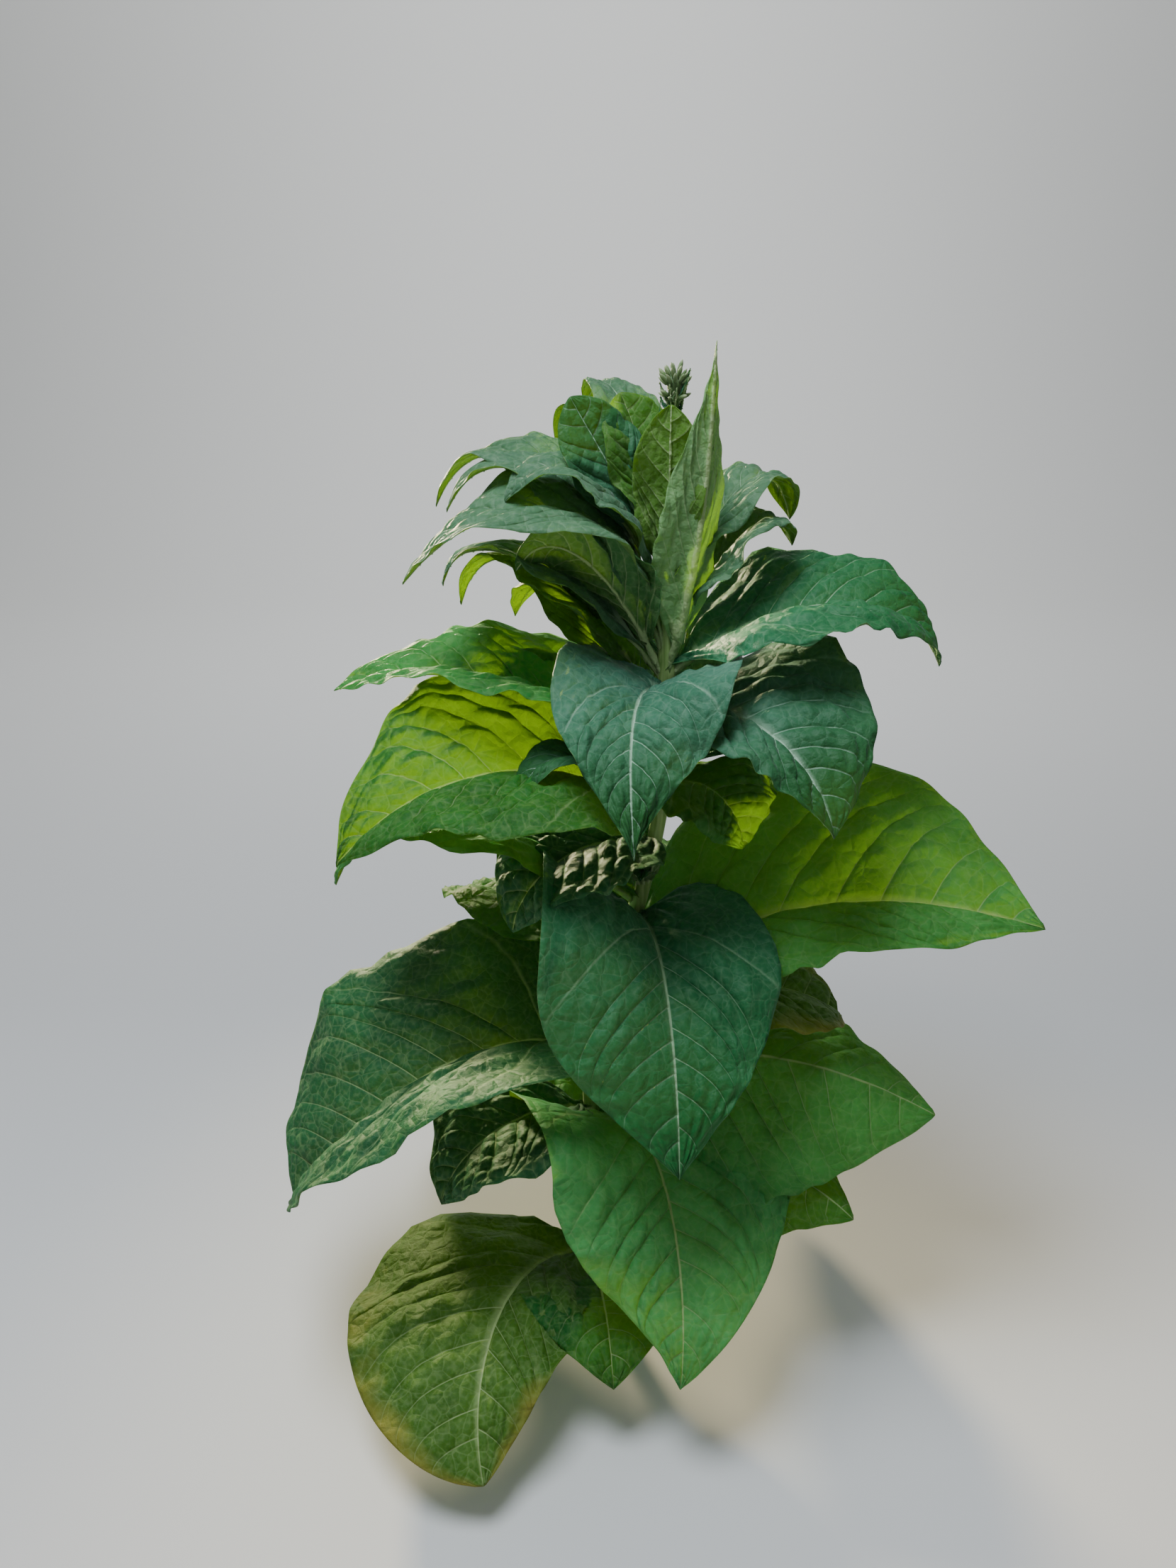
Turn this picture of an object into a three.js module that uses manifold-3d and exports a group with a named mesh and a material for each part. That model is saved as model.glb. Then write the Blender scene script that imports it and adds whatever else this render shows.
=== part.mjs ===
// A field-grown tobacco plant in bud: one rooted stem, its broad leaves, the young upright leaves
// round its tip, a few side shoots and the head of flower buds.
// Millimetres, +Z up. The origin is the middle of the flat cut under the stem, at ground level.
import * as THREE from 'three';
import Module from 'manifold-3d';

const wasm = await Module();
wasm.setup();

// Driving sizes
const STEM_HEIGHT = 1380;
const STEM_FOOT_RADIUS = 15.5;
const STEM_TOP_RADIUS = 5.5;
const FLARE = 10;
const FLARE_HEIGHT = 35;
const LEAN = 94;
const LEAN_START = 390;
const LEAN_HEIGHT = 530;
const STEM_RINGS = 32;
const STEM_SIDES = 10;
const CLEARANCE = 0.3;
const THINNEST_BLADE = 3;
const NARROWEST_BLADE = 3;
const BUD_HEAD_RADIUS = 13;
const BUD_HEAD_HEIGHT = 34;
const BUD_COUNT = 18;
const BUD_LENGTH = 14;
const BUD_RADIUS = 3.4;
const BUD_SIDES = 4;

// Shares and powers of the formulas below
const TAPER_POWER = 1.15;
const RING_POWER = 1.5;
const WING_SHARE = 0.3;
const LOBE_SHARE = 0.3;
const BOW_SHARE = 0.25;
const ROLL_SHARE = 0.15;
const HALVES_APART = 0.37;
const RIB_POWER = 0.7;

// Angles are in degrees. A turn of 0 points right (+X), 90 away (+Y), 180 left and 270 to the front.
const GOLDEN_ANGLE = 137.5;
const FOOT_FOLD = 50;
const FLAT_TIP_FOLD = 6;

// How a leaf is described: it leaves the stem at height, towards turn, climbing at rise.
// Its tip stands out by reach at the height tip, and ends at the slope fall.
// The width is across both halves. The left half is the one on the side that turn grows to.
const BROAD = {
  swing: 0, roll: 0, leftFold: 20, rightFold: 20, flatTip: false, curl: -25, wave: 8, waves: 3,
  full: 0.6, point: 1, neck: 0.09, stalk: 0.13, lobe: 0, bias: 0, rib: 6, arch: 0.4, rows: 12, strips: 3,
};
const HIDDEN = { ...BROAD, rows: 8, strips: 2 };
const YOUNG = { ...BROAD, full: 0.9, neck: 0.18, stalk: 0.14, rows: 9, strips: 2 };
const UPRIGHT = { ...BROAD, full: 1, point: 0.7, neck: 0.2, rows: 10 };
const SHOOT_LEAF = { ...BROAD, wave: 2, rib: 2, stalk: 0.3, rows: 4, strips: 1 };

// Leaves that stand in front come first, because each leaf makes room for the ones before it.
const FRONT_LEAVES = [
  { name: 'leaf_upper_front', ...BROAD, height: 1015, turn: 259, swing: 28, reach: 255, tip: 905, rise: 40,
    fall: -75, width: 240, bias: 0.08, leftFold: 30, rightFold: 32, flatTip: true, curl: -12, full: 0.45,
    point: 1.4, lobe: 0.6 },
  { name: 'leaf_middle_front', ...BROAD, height: 690, turn: 280, swing: -8, reach: 290, tip: 485, rise: 42,
    fall: -75, width: 345, bias: -0.12, leftFold: 14, rightFold: 46, flatTip: true, curl: -15, full: 0.45,
    point: 1.1, lobe: 0.7 },
  { name: 'leaf_low_front', ...BROAD, height: 350, turn: 291, swing: -50, reach: 325, tip: 150, rise: 45,
    fall: -78, width: 375, bias: 0.05, leftFold: 24, rightFold: 32, flatTip: true, full: 0.4, point: 1.1,
    lobe: 0.9 },
  { name: 'leaf_lowest_front_left', ...BROAD, height: 95, turn: 250, swing: 40, reach: 410, tip: 75,
    rise: 40, fall: -45, width: 345, bias: -0.35, leftFold: 10, rightFold: 5, wave: 14, full: 0.5,
    point: 0.75, lobe: 0.2 },
  { name: 'leaf_lowest_front', ...HIDDEN, height: 70, turn: 276, reach: 275, tip: 115, rise: 38, fall: -55,
    width: 260 },
];

const SIDE_LEAVES = [
  { name: 'leaf_upper_front_right', ...BROAD, height: 965, turn: 312, reach: 275, tip: 910, rise: 58,
    fall: -75, width: 255, bias: 0.3, leftFold: 30, rightFold: 8, curl: -15, full: 0.5, lobe: 0.2,
    arch: 0.42 },
  { name: 'leaf_middle_left', ...BROAD, height: 860, turn: 200, reach: 430, tip: 845, rise: 38, fall: -50,
    width: 350, leftFold: 10, rightFold: 56, full: 0.55, point: 1.15 },
  { name: 'leaf_low_left', ...BROAD, height: 480, turn: 193, swing: -10, reach: 445, tip: 285, rise: 30,
    fall: -60, width: 400, bias: -0.05, leftFold: 30, rightFold: 44, wave: 12, full: 0.45, point: 0.65,
    lobe: 1 },
  { name: 'leaf_middle_right', ...BROAD, height: 560, turn: 351, reach: 575, tip: 725, rise: 48, fall: -15,
    width: 360, bias: 0.4, leftFold: 48, rightFold: -2, full: 0.75 },
  { name: 'leaf_low_right', ...BROAD, height: 400, turn: 346, reach: 485, tip: 450, rise: 44, fall: -25,
    width: 400, bias: -0.1, leftFold: 6, rightFold: -50, full: 0.45, point: 0.75 },
  { name: 'leaf_low_right_under', ...HIDDEN, height: 265, turn: 337, reach: 395, tip: 300, rise: 40,
    fall: -40, width: 270, leftFold: 10, rightFold: -50, point: 0.8 },
  { name: 'leaf_upper_right', ...BROAD, height: 1045, turn: 0, reach: 345, tip: 1055, rise: 45, fall: -70,
    width: 240, leftFold: 40, rightFold: 12 },
  { name: 'leaf_upper_left', ...BROAD, height: 880, turn: 179, reach: 425, tip: 1020, rise: 58, fall: -20,
    width: 270, bias: -0.08, leftFold: 26, rightFold: 30 },
  { name: 'leaf_middle_left_under', ...HIDDEN, height: 720, turn: 183, reach: 410, tip: 755, rise: 38,
    fall: -70, width: 260, arch: 0.5, point: 0.85 },
  { name: 'leaf_small_left', ...YOUNG, height: 885, turn: 212, reach: 215, tip: 910, rise: 35, fall: -80,
    width: 95, arch: 0.5 },
  { name: 'leaf_middle_hanging_right', ...HIDDEN, height: 885, turn: 322, reach: 125, tip: 835, rise: 48,
    fall: -88, width: 230, arch: 0.5 },
  { name: 'leaf_middle_hanging_left', ...HIDDEN, height: 800, turn: 216, reach: 225, tip: 745, rise: 40,
    fall: -85, width: 250 },
  { name: 'leaf_low_left_under', ...HIDDEN, height: 370, turn: 215, reach: 255, tip: 320, rise: 40,
    fall: -80, width: 250 },
  { name: 'leaf_low_right_behind', ...HIDDEN, height: 470, turn: 2, reach: 350, tip: 530, rise: 50,
    fall: -40, width: 280, point: 0.5 },
];

const YOUNG_LEAVES = [
  { name: 'young_leaf_tall_right', ...BROAD, height: 1050, turn: 322, reach: 56, tip: 1444, rise: 76,
    fall: 88, width: 92, bias: -0.3, leftFold: 10, rightFold: 25, curl: 0, wave: 3, full: 0.9, point: 1.7 },
  { name: 'young_leaf_upright_left', ...UPRIGHT, height: 1165, turn: 174, reach: 122, tip: 1380, rise: 68,
    fall: 60, width: 105, roll: -60 },
  { name: 'young_leaf_upright_middle', ...UPRIGHT, height: 1168, turn: 142, reach: 78, tip: 1382, rise: 78,
    fall: 60, width: 115, roll: -20 },
  { name: 'young_leaf_upright_right', ...UPRIGHT, height: 1110, turn: 258, reach: 20, tip: 1374, rise: 82,
    fall: 88, width: 90, rightFold: 5, leftFold: 5 },
  { name: 'young_leaf_left_facing', ...YOUNG, height: 1035, turn: 184, reach: 188, tip: 1180, rise: 72,
    fall: -60, width: 150, roll: 48, leftFold: 12, rightFold: 12, arch: 0.45 },
  { name: 'young_leaf_left_arch', ...YOUNG, height: 1065, turn: 186, swing: -25, reach: 325, tip: 1168,
    rise: 84, fall: -50, width: 170, roll: -10, arch: 0.62 },
  { name: 'young_leaf_left_inner', ...YOUNG, height: 1130, turn: 190, reach: 200, tip: 1265, rise: 74,
    fall: -60, width: 140, roll: -8, arch: 0.5 },
  { name: 'young_leaf_left_high', ...YOUNG, height: 1070, turn: 170, reach: 280, tip: 1240, rise: 72,
    fall: -65, width: 115, roll: -8, arch: 0.5 },
  { name: 'young_leaf_left_highest', ...YOUNG, height: 1100, turn: 154, reach: 335, tip: 1230, rise: 72,
    fall: -65, width: 115, roll: -8, arch: 0.5 },
  { name: 'young_leaf_left_low', ...YOUNG, height: 1030, turn: 173, reach: 285, tip: 1150, rise: 66,
    fall: -80, width: 100 },
  { name: 'young_leaf_left_lower', ...YOUNG, height: 985, turn: 160, reach: 285, tip: 1110, rise: 60,
    fall: -75, width: 150, arch: 0.52 },
  { name: 'young_leaf_left_lowest', ...YOUNG, height: 940, turn: 146, reach: 240, tip: 1085, rise: 62,
    fall: -70, width: 150, arch: 0.5 },
  { name: 'young_leaf_right_arch', ...YOUNG, height: 1120, turn: 34, reach: 195, tip: 1220, rise: 70,
    fall: -75, width: 115, arch: 0.62 },
  { name: 'young_leaf_right_low', ...YOUNG, height: 1085, turn: 18, reach: 165, tip: 1198, rise: 64,
    fall: -70, width: 120, arch: 0.5 },
  { name: 'young_leaf_back_high', ...YOUNG, height: 1150, turn: 118, reach: 222, tip: 1350, rise: 76,
    fall: -60, width: 90, arch: 0.45 },
  { name: 'young_leaf_back_left', ...YOUNG, height: 1135, turn: 133, reach: 205, tip: 1300, rise: 74,
    fall: -80, width: 80, arch: 0.58 },
];

const BACK_LEAVES = [
  { name: 'leaf_back_1', ...HIDDEN, height: 180, turn: 60, reach: 420, tip: 130, rise: 40, fall: -50,
    width: 330 },
  { name: 'leaf_back_2', ...HIDDEN, height: 250, turn: 135, reach: 430, tip: 190, rise: 40, fall: -50,
    width: 330 },
  { name: 'leaf_back_3', ...HIDDEN, height: 500, turn: 85, reach: 440, tip: 430, rise: 40, fall: -55,
    width: 320 },
  { name: 'leaf_back_4', ...HIDDEN, height: 590, turn: 120, reach: 420, tip: 500, rise: 40, fall: -55,
    width: 310 },
  { name: 'leaf_back_5', ...HIDDEN, height: 610, turn: 66, reach: 430, tip: 560, rise: 38, fall: -50,
    width: 290 },
  { name: 'leaf_back_6', ...HIDDEN, height: 790, turn: 112, reach: 410, tip: 750, rise: 45, fall: -50,
    width: 280 },
  { name: 'leaf_back_7', ...HIDDEN, height: 885, turn: 55, reach: 380, tip: 870, rise: 50, fall: -50,
    width: 260 },
  { name: 'leaf_back_8', ...HIDDEN, height: 975, turn: 90, reach: 320, tip: 1010, rise: 56, fall: -50,
    width: 220 },
];

// Side shoots in the leaf axils: a tuft of small leaves each
const SIDE_SHOOTS = [
  { name: 'side_shoot_low', height: 590, turn: 255, size: 75 },
  { name: 'side_shoot_middle', height: 745, turn: 262, size: 85 },
  { name: 'side_shoot_upper', height: 905, turn: 285, size: 70 },
];
// One leaf of a shoot: turn from the shoot's own, then reach and tip as shares of its size, and the fall
const SHOOT_LEAVES = [
  { turn: -35, reach: 0.55, tip: 0.75, fall: 20 },
  { turn: 0, reach: 0.7, tip: 0.4, fall: -40 },
  { turn: 35, reach: 0.55, tip: 0.75, fall: 20 },
];
const SHOOT_RISE = 65;
const SHOOT_WIDTH_SHARE = 0.4;
const SHOOT_STEP = 2;

const COLOURS = {
  stem: 0x9dbb6e,
  low: 0x6f9a3a,
  middle: 0x3f8248,
  upper: 0x4f8c72,
  young: 0x86a838,
  buds: 0x7f9a58,
};
// Leaves below these heights take the low and the middle colour.
const LOW_TOP = 420;
const MIDDLE_TOP = 850;

const vector = (x, y, z) => new THREE.Vector3(x, y, z);
const radians = THREE.MathUtils.degToRad;

function smooth(t) {
  return THREE.MathUtils.smoothstep(t, 0, 1);
}

function direction(turn, climb) {
  const flat = Math.cos(radians(climb));
  return vector(flat * Math.cos(radians(turn)), flat * Math.sin(radians(turn)), Math.sin(radians(climb)));
}

// The stem stands straight, then leans to the right and straightens again.
function stemAxis(z) {
  return vector(LEAN * smooth((z - LEAN_START) / LEAN_HEIGHT), 0, z);
}

function stemRadius(z) {
  const taper = (STEM_FOOT_RADIUS - STEM_TOP_RADIUS) * (z / STEM_HEIGHT) ** TAPER_POWER;
  return STEM_FOOT_RADIUS - taper + FLARE * Math.exp(-z / FLARE_HEIGHT);
}

// A closed solid from points and faces given by point number
function solid(points, faces) {
  const vertProperties = new Float32Array(points.flatMap((p) => [p.x, p.y, p.z]));
  const triVerts = new Uint32Array(faces.flat());
  return new wasm.Manifold(new wasm.Mesh({ numProp: 3, vertProperties, triVerts }));
}

function stemSolid(extra) {
  const points = [];
  const faces = [];
  for (let ring = 0; ring <= STEM_RINGS; ring++) {
    // the rings are closer together in the flare at the foot
    const z = STEM_HEIGHT * (ring / STEM_RINGS) ** RING_POWER;
    const middle = stemAxis(z);
    for (let side = 0; side < STEM_SIDES; side++) {
      const out = direction((360 * side) / STEM_SIDES, 0).multiplyScalar(stemRadius(z) + extra);
      points.push(middle.clone().add(out));
    }
  }
  const foot = points.push(vector(0, 0, 0)) - 1;
  const top = points.push(stemAxis(STEM_HEIGHT)) - 1;
  const last = STEM_RINGS * STEM_SIDES;
  for (let side = 0; side < STEM_SIDES; side++) {
    const next = (side + 1) % STEM_SIDES;
    for (let ring = 0; ring < STEM_RINGS; ring++) {
      const a = ring * STEM_SIDES + side;
      const b = ring * STEM_SIDES + next;
      faces.push([a, b, b + STEM_SIDES], [a, b + STEM_SIDES, a + STEM_SIDES]);
    }
    faces.push([foot, next, side], [top, last + side, last + next]);
  }
  return solid(points, faces);
}

// The midrib is one arch from the stem's side to the leaf's tip.
function midribCurve(leaf) {
  const axis = stemAxis(leaf.height);
  const foot = axis.clone().addScaledVector(direction(leaf.turn, 0), stemRadius(leaf.height) + CLEARANCE);
  const tip = axis.clone().addScaledVector(direction(leaf.turn, 0), leaf.reach).setZ(leaf.tip);
  const handle = foot.distanceTo(tip) * leaf.arch;
  const climbing = foot.clone().addScaledVector(direction(leaf.turn - leaf.swing, leaf.rise), handle);
  const ending = tip.clone().addScaledVector(direction(leaf.turn + leaf.swing, leaf.fall), -handle);
  return new THREE.CubicBezierCurve3(foot, climbing, ending, tip);
}

// Half the blade's width at the share u of the midrib: a narrow winged foot, then a pointed oval
function halfWidth(leaf, u) {
  const t = THREE.MathUtils.clamp((u - leaf.neck) / (1 - leaf.neck), 0, 1);
  const { full, point } = leaf;
  const most = (full / (full + point)) ** full * (point / (full + point)) ** point;
  const blade = (t ** full * (1 - t) ** point) / most;
  const foot = leaf.stalk * Math.exp(-((u / WING_SHARE) ** 2));
  return Math.max(Math.hypot(blade, foot) * leaf.width, NARROWEST_BLADE) / 2;
}

// One half blade bends as an arc from its fold at the midrib. Returns how far out and up a point is.
function acrossBlade(leaf, u, side, v) {
  const near = side > 0 ? leaf.leftFold : leaf.rightFold;
  const far = leaf.flatTip ? FLAT_TIP_FOLD : near;
  const along = near + (far - near) * smooth((u - 0.2) / 0.6);
  const fold = radians(along + (FOOT_FOLD - along) * Math.exp(-((u / leaf.neck) ** 2)));
  // the small addition keeps a blade that doesn't bend from dividing by zero
  const bow = radians(leaf.curl) * smooth(u / BOW_SHARE) + 1e-6;
  const half = halfWidth(leaf, u) * (1 + side * leaf.bias);
  const swell = Math.max(Math.sin(Math.PI * u ** 0.8), 0) ** 0.7;
  const ripple = swell * Math.sin(2 * Math.PI * (leaf.waves * u + (side < 0 ? HALVES_APART : 0)));
  return {
    out: (side * half * (Math.sin(fold + bow * v) - Math.sin(fold))) / bow,
    up: (half * (Math.cos(fold) - Math.cos(fold + bow * v))) / bow + leaf.wave * v * v * ripple,
    back: leaf.lobe * halfWidth(leaf, u) * (1 - smooth((u - leaf.neck) / LOBE_SHARE)) * v * v,
  };
}

// Rows of points across the blade, one row for each step along the midrib
function bladeRows(leaf, curve) {
  const rows = [];
  for (let i = 0; i <= leaf.rows; i++) {
    const u = i / leaf.rows;
    const along = curve.getTangentAt(u);
    const side = direction(leaf.turn + leaf.swing * (2 * u - 1) + 90, 0);
    side.addScaledVector(along, -side.dot(along)).normalize();
    const up = along.clone().cross(side);
    const roll = radians(leaf.roll) * smooth(u / ROLL_SHARE);
    side.applyAxisAngle(along, roll);
    up.applyAxisAngle(along, roll);
    const row = [];
    for (let j = -leaf.strips; j <= leaf.strips; j++) {
      const at = acrossBlade(leaf, u, j < 0 ? -1 : 1, Math.abs(j) / leaf.strips);
      const point = curve.getPointAt(u).addScaledVector(side, at.out);
      row.push(point.addScaledVector(up, at.up).addScaledVector(along, -at.back));
    }
    rows.push(row);
  }
  return rows;
}

// The plane beside the stem that a leaf's foot lies on. It leans as the stem does.
function footPlane(leaf) {
  const along = stemAxis(leaf.height + 1).sub(stemAxis(leaf.height - 1)).normalize();
  const out = direction(leaf.turn, 0);
  out.addScaledVector(along, -out.dot(along)).normalize();
  const place = stemAxis(leaf.height).addScaledVector(out, stemRadius(leaf.height) + CLEARANCE);
  return new THREE.Plane().setFromNormalAndCoplanarPoint(out, place);
}

function surfaceNormal(rows, i, j) {
  const along = rows[Math.min(i + 1, rows.length - 1)][j].clone().sub(rows[Math.max(i - 1, 0)][j]);
  const row = rows[i];
  const across = row[Math.min(j + 1, row.length - 1)].clone().sub(row[Math.max(j - 1, 0)]);
  return along.cross(across).normalize();
}

// A leaf is a hundredth of its length thick, with a raised midrib below. The extra grows it evenly.
function leafSolid(leaf, extra = 0) {
  const curve = midribCurve(leaf);
  const rows = bladeRows(leaf, curve);
  const thickness = Math.max(curve.getLength() / 100, THINNEST_BLADE) + 2 * extra;
  const columns = 2 * leaf.strips + 1;
  const upper = [];
  const lower = [];
  rows.forEach((row, i) => {
    row.forEach((point, j) => {
      const normal = surfaceNormal(rows, i, j);
      const atRib = j === leaf.strips;
      const rib = atRib ? leaf.rib * (1 - i / leaf.rows) ** RIB_POWER : 0;
      const middle = point.clone();
      if (j === 0 || j === columns - 1) {
        middle.addScaledVector(point.clone().sub(row[leaf.strips]).normalize(), extra);
      }
      upper.push(middle.clone().addScaledVector(normal, thickness / 2));
      lower.push(middle.clone().addScaledVector(normal, -thickness / 2 - rib));
    });
  });
  const plane = footPlane(leaf);
  for (let j = 0; j < columns; j++) {
    plane.projectPoint(upper[j].clone(), upper[j]);
    plane.projectPoint(lower[j].clone(), lower[j]);
  }
  const under = upper.length;
  const faces = [];
  for (let i = 0; i < leaf.rows; i++) {
    for (let j = 0; j < columns - 1; j++) {
      const a = i * columns + j;
      const [b, c, d] = [a + 1, a + columns + 1, a + columns];
      faces.push([a, d, c], [a, c, b]);
      faces.push([a + under, c + under, d + under], [a + under, b + under, c + under]);
    }
    const left = i * columns;
    const right = left + columns - 1;
    faces.push([left, left + under, left + columns + under], [left, left + columns + under, left + columns]);
    faces.push([right, right + columns + under, right + under]);
    faces.push([right, right + columns, right + columns + under]);
  }
  for (let j = 0; j < columns - 1; j++) {
    const tip = leaf.rows * columns + j;
    faces.push([j, j + 1, j + 1 + under], [j, j + 1 + under, j + under]);
    faces.push([tip, tip + 1 + under, tip + 1], [tip, tip + under, tip + 1 + under]);
  }
  return solid([...upper, ...lower], faces);
}

function boxesMeet(a, b) {
  const one = a.boundingBox();
  const two = b.boundingBox();
  return [0, 1, 2].every((k) => one.min[k] < two.max[k] && two.min[k] < one.max[k]);
}

// Keeps the largest piece, as a cut can leave a scrap behind
function largest(shape) {
  return shape.decompose().sort((a, b) => b.volume() - a.volume())[0];
}

function cutWhereTheyMeet(shape, other) {
  if (!boxesMeet(shape, other)) return shape;
  return shape.intersect(other).volume() > 0 ? shape.subtract(other) : shape;
}

const stemRoom = stemSolid(CLEARANCE / 2);
const placed = [];

// Makes room for the stem and for every piece placed before, and remembers this one
function fitIn(shape, room) {
  let fitted = cutWhereTheyMeet(shape, stemRoom);
  for (const other of placed) {
    fitted = cutWhereTheyMeet(fitted, other.room);
    fitted = cutWhereTheyMeet(fitted, other.shape);
  }
  placed.push({ shape: fitted, room });
  return largest(fitted);
}

function meshOf(name, shape, foot, colour) {
  const { vertProperties, triVerts } = shape.getMesh();
  const geometry = new THREE.BufferGeometry();
  geometry.setAttribute('position', new THREE.BufferAttribute(Float32Array.from(vertProperties), 3));
  geometry.setIndex(new THREE.BufferAttribute(Uint32Array.from(triVerts), 1));
  geometry.translate(-foot.x, -foot.y, -foot.z);
  geometry.computeVertexNormals();
  const material = new THREE.MeshStandardMaterial({ color: colour, roughness: 0.6, metalness: 0 });
  const mesh = new THREE.Mesh(geometry, material);
  mesh.name = name;
  mesh.position.copy(foot);
  return mesh;
}

function stemMesh() {
  return meshOf('stem', stemSolid(0), vector(0, 0, 0), COLOURS.stem);
}

function leafMesh(leaf, colour) {
  const fitted = fitIn(leafSolid(leaf), leafSolid(leaf, CLEARANCE));
  return meshOf(leaf.name, fitted, stemAxis(leaf.height), colour);
}

// The leaves of one side shoot: the middle one hangs out further than the other two.
function shootLeaves(shoot) {
  return SHOOT_LEAVES.map((leaf, i) => ({
    ...SHOOT_LEAF,
    height: shoot.height + SHOOT_STEP * i,
    turn: shoot.turn + leaf.turn,
    reach: shoot.size * leaf.reach,
    tip: shoot.height + shoot.size * leaf.tip,
    rise: SHOOT_RISE,
    fall: leaf.fall,
    width: shoot.size * SHOOT_WIDTH_SHARE,
  }));
}

function shootMesh(shoot) {
  const tuft = (extra) => {
    const solids = shootLeaves(shoot).map((leaf) => leafSolid(leaf, extra));
    return solids.reduce((all, next) => all.add(next));
  };
  return meshOf(shoot.name, fitIn(tuft(0), tuft(CLEARANCE)), stemAxis(shoot.height), COLOURS.middle);
}

// A closed solid of revolution that points along a direction from a place
function lathe(profile, sides, place, along) {
  const points = [];
  const faces = [];
  const turn = new THREE.Quaternion().setFromUnitVectors(vector(0, 0, 1), along.clone().normalize());
  const put = (x, y, z) => points.push(vector(x, y, z).applyQuaternion(turn).add(place)) - 1;
  const bottom = put(0, 0, profile[0].z);
  for (const { r, z } of profile) {
    for (let k = 0; k < sides; k++) {
      const a = (2 * Math.PI * k) / sides;
      put(r * Math.cos(a), r * Math.sin(a), z);
    }
  }
  const top = put(0, 0, profile[profile.length - 1].z);
  for (let k = 0; k < sides; k++) {
    const next = (k + 1) % sides;
    for (let i = 0; i < profile.length - 1; i++) {
      const a = 1 + i * sides + k;
      const b = 1 + i * sides + next;
      faces.push([a, b, b + sides], [a, b + sides, a + sides]);
    }
    const last = 1 + (profile.length - 1) * sides;
    faces.push([bottom, 1 + next, 1 + k], [top, last + k, last + next]);
  }
  return solid(points, faces);
}

// The head of buds: a short stalk, a round core and buds set round it at the golden angle
function budHeadMesh() {
  const foot = stemAxis(STEM_HEIGHT).setZ(STEM_HEIGHT + CLEARANCE);
  const widest = BUD_HEAD_HEIGHT * 0.6;
  const core = [
    { r: STEM_TOP_RADIUS * 0.9, z: 0 },
    { r: STEM_TOP_RADIUS, z: BUD_HEAD_HEIGHT * 0.2 },
    { r: BUD_HEAD_RADIUS, z: widest },
    { r: BUD_HEAD_RADIUS * 0.7, z: BUD_HEAD_HEIGHT * 0.9 },
    { r: BUD_HEAD_RADIUS * 0.15, z: BUD_HEAD_HEIGHT },
  ];
  const bud = [
    { r: BUD_RADIUS * 0.5, z: 0 },
    { r: BUD_RADIUS, z: BUD_LENGTH * 0.4 },
    { r: BUD_RADIUS * 0.75, z: BUD_LENGTH * 0.8 },
    { r: BUD_RADIUS * 0.15, z: BUD_LENGTH },
  ];
  let shape = lathe(core, 8, foot, vector(0, 0, 1));
  const middle = foot.clone().add(vector(0, 0, widest));
  for (let i = 0; i < BUD_COUNT; i++) {
    const climb = -10 + 95 * ((i + 0.5) / BUD_COUNT);
    const along = direction(GOLDEN_ANGLE * i, climb);
    const place = middle.clone().addScaledVector(along, BUD_HEAD_RADIUS * 0.55);
    shape = shape.add(lathe(bud, BUD_SIDES, place, along));
  }
  return meshOf('bud_head', largest(shape), foot, COLOURS.buds);
}

function tierColour(leaf) {
  if (leaf.height < LOW_TOP) return COLOURS.low;
  return leaf.height < MIDDLE_TOP ? COLOURS.middle : COLOURS.upper;
}

const plant = new THREE.Group();
plant.add(stemMesh());
for (const leaf of [...FRONT_LEAVES, ...SIDE_LEAVES]) plant.add(leafMesh(leaf, tierColour(leaf)));
for (const leaf of YOUNG_LEAVES) plant.add(leafMesh(leaf, COLOURS.young));
for (const leaf of BACK_LEAVES) plant.add(leafMesh(leaf, tierColour(leaf)));
for (const shoot of SIDE_SHOOTS) plant.add(shootMesh(shoot));
plant.add(budHeadMesh());

export default plant;
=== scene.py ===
# A field-grown tobacco plant in bud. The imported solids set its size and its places,
# and every one of them is dressed here with a finer piece of living leaf, stem or bud.
# The rows and rules that shape the plant are in millimetres and degrees, and the meshes in metres.
import math

import bpy
import numpy as np
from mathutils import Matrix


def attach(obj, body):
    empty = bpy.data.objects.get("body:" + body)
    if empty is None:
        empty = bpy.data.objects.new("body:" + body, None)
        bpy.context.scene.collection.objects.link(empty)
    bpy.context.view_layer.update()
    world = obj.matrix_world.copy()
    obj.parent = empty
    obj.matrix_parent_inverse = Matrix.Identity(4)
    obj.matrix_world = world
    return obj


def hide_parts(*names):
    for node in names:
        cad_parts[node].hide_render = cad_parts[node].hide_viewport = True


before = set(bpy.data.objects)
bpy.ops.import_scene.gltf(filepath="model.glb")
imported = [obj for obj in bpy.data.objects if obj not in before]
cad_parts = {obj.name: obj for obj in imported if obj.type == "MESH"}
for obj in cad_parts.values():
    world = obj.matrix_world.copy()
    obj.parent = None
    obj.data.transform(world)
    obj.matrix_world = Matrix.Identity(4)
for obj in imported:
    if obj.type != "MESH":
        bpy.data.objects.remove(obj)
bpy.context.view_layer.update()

MM = 0.001
SEED = 7
SHOOT_SEED = 107

# The stem
STEM_HEIGHT = 1380
STEM_FOOT_RADIUS = 15.5
STEM_TOP_RADIUS = 5.5
TAPER_POWER = 1.15
FLARE = 10
FLARE_HEIGHT = 35
LEAN = 94
LEAN_START = 390
LEAN_HEIGHT = 530
FOOT_SINK = 2.5

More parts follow.
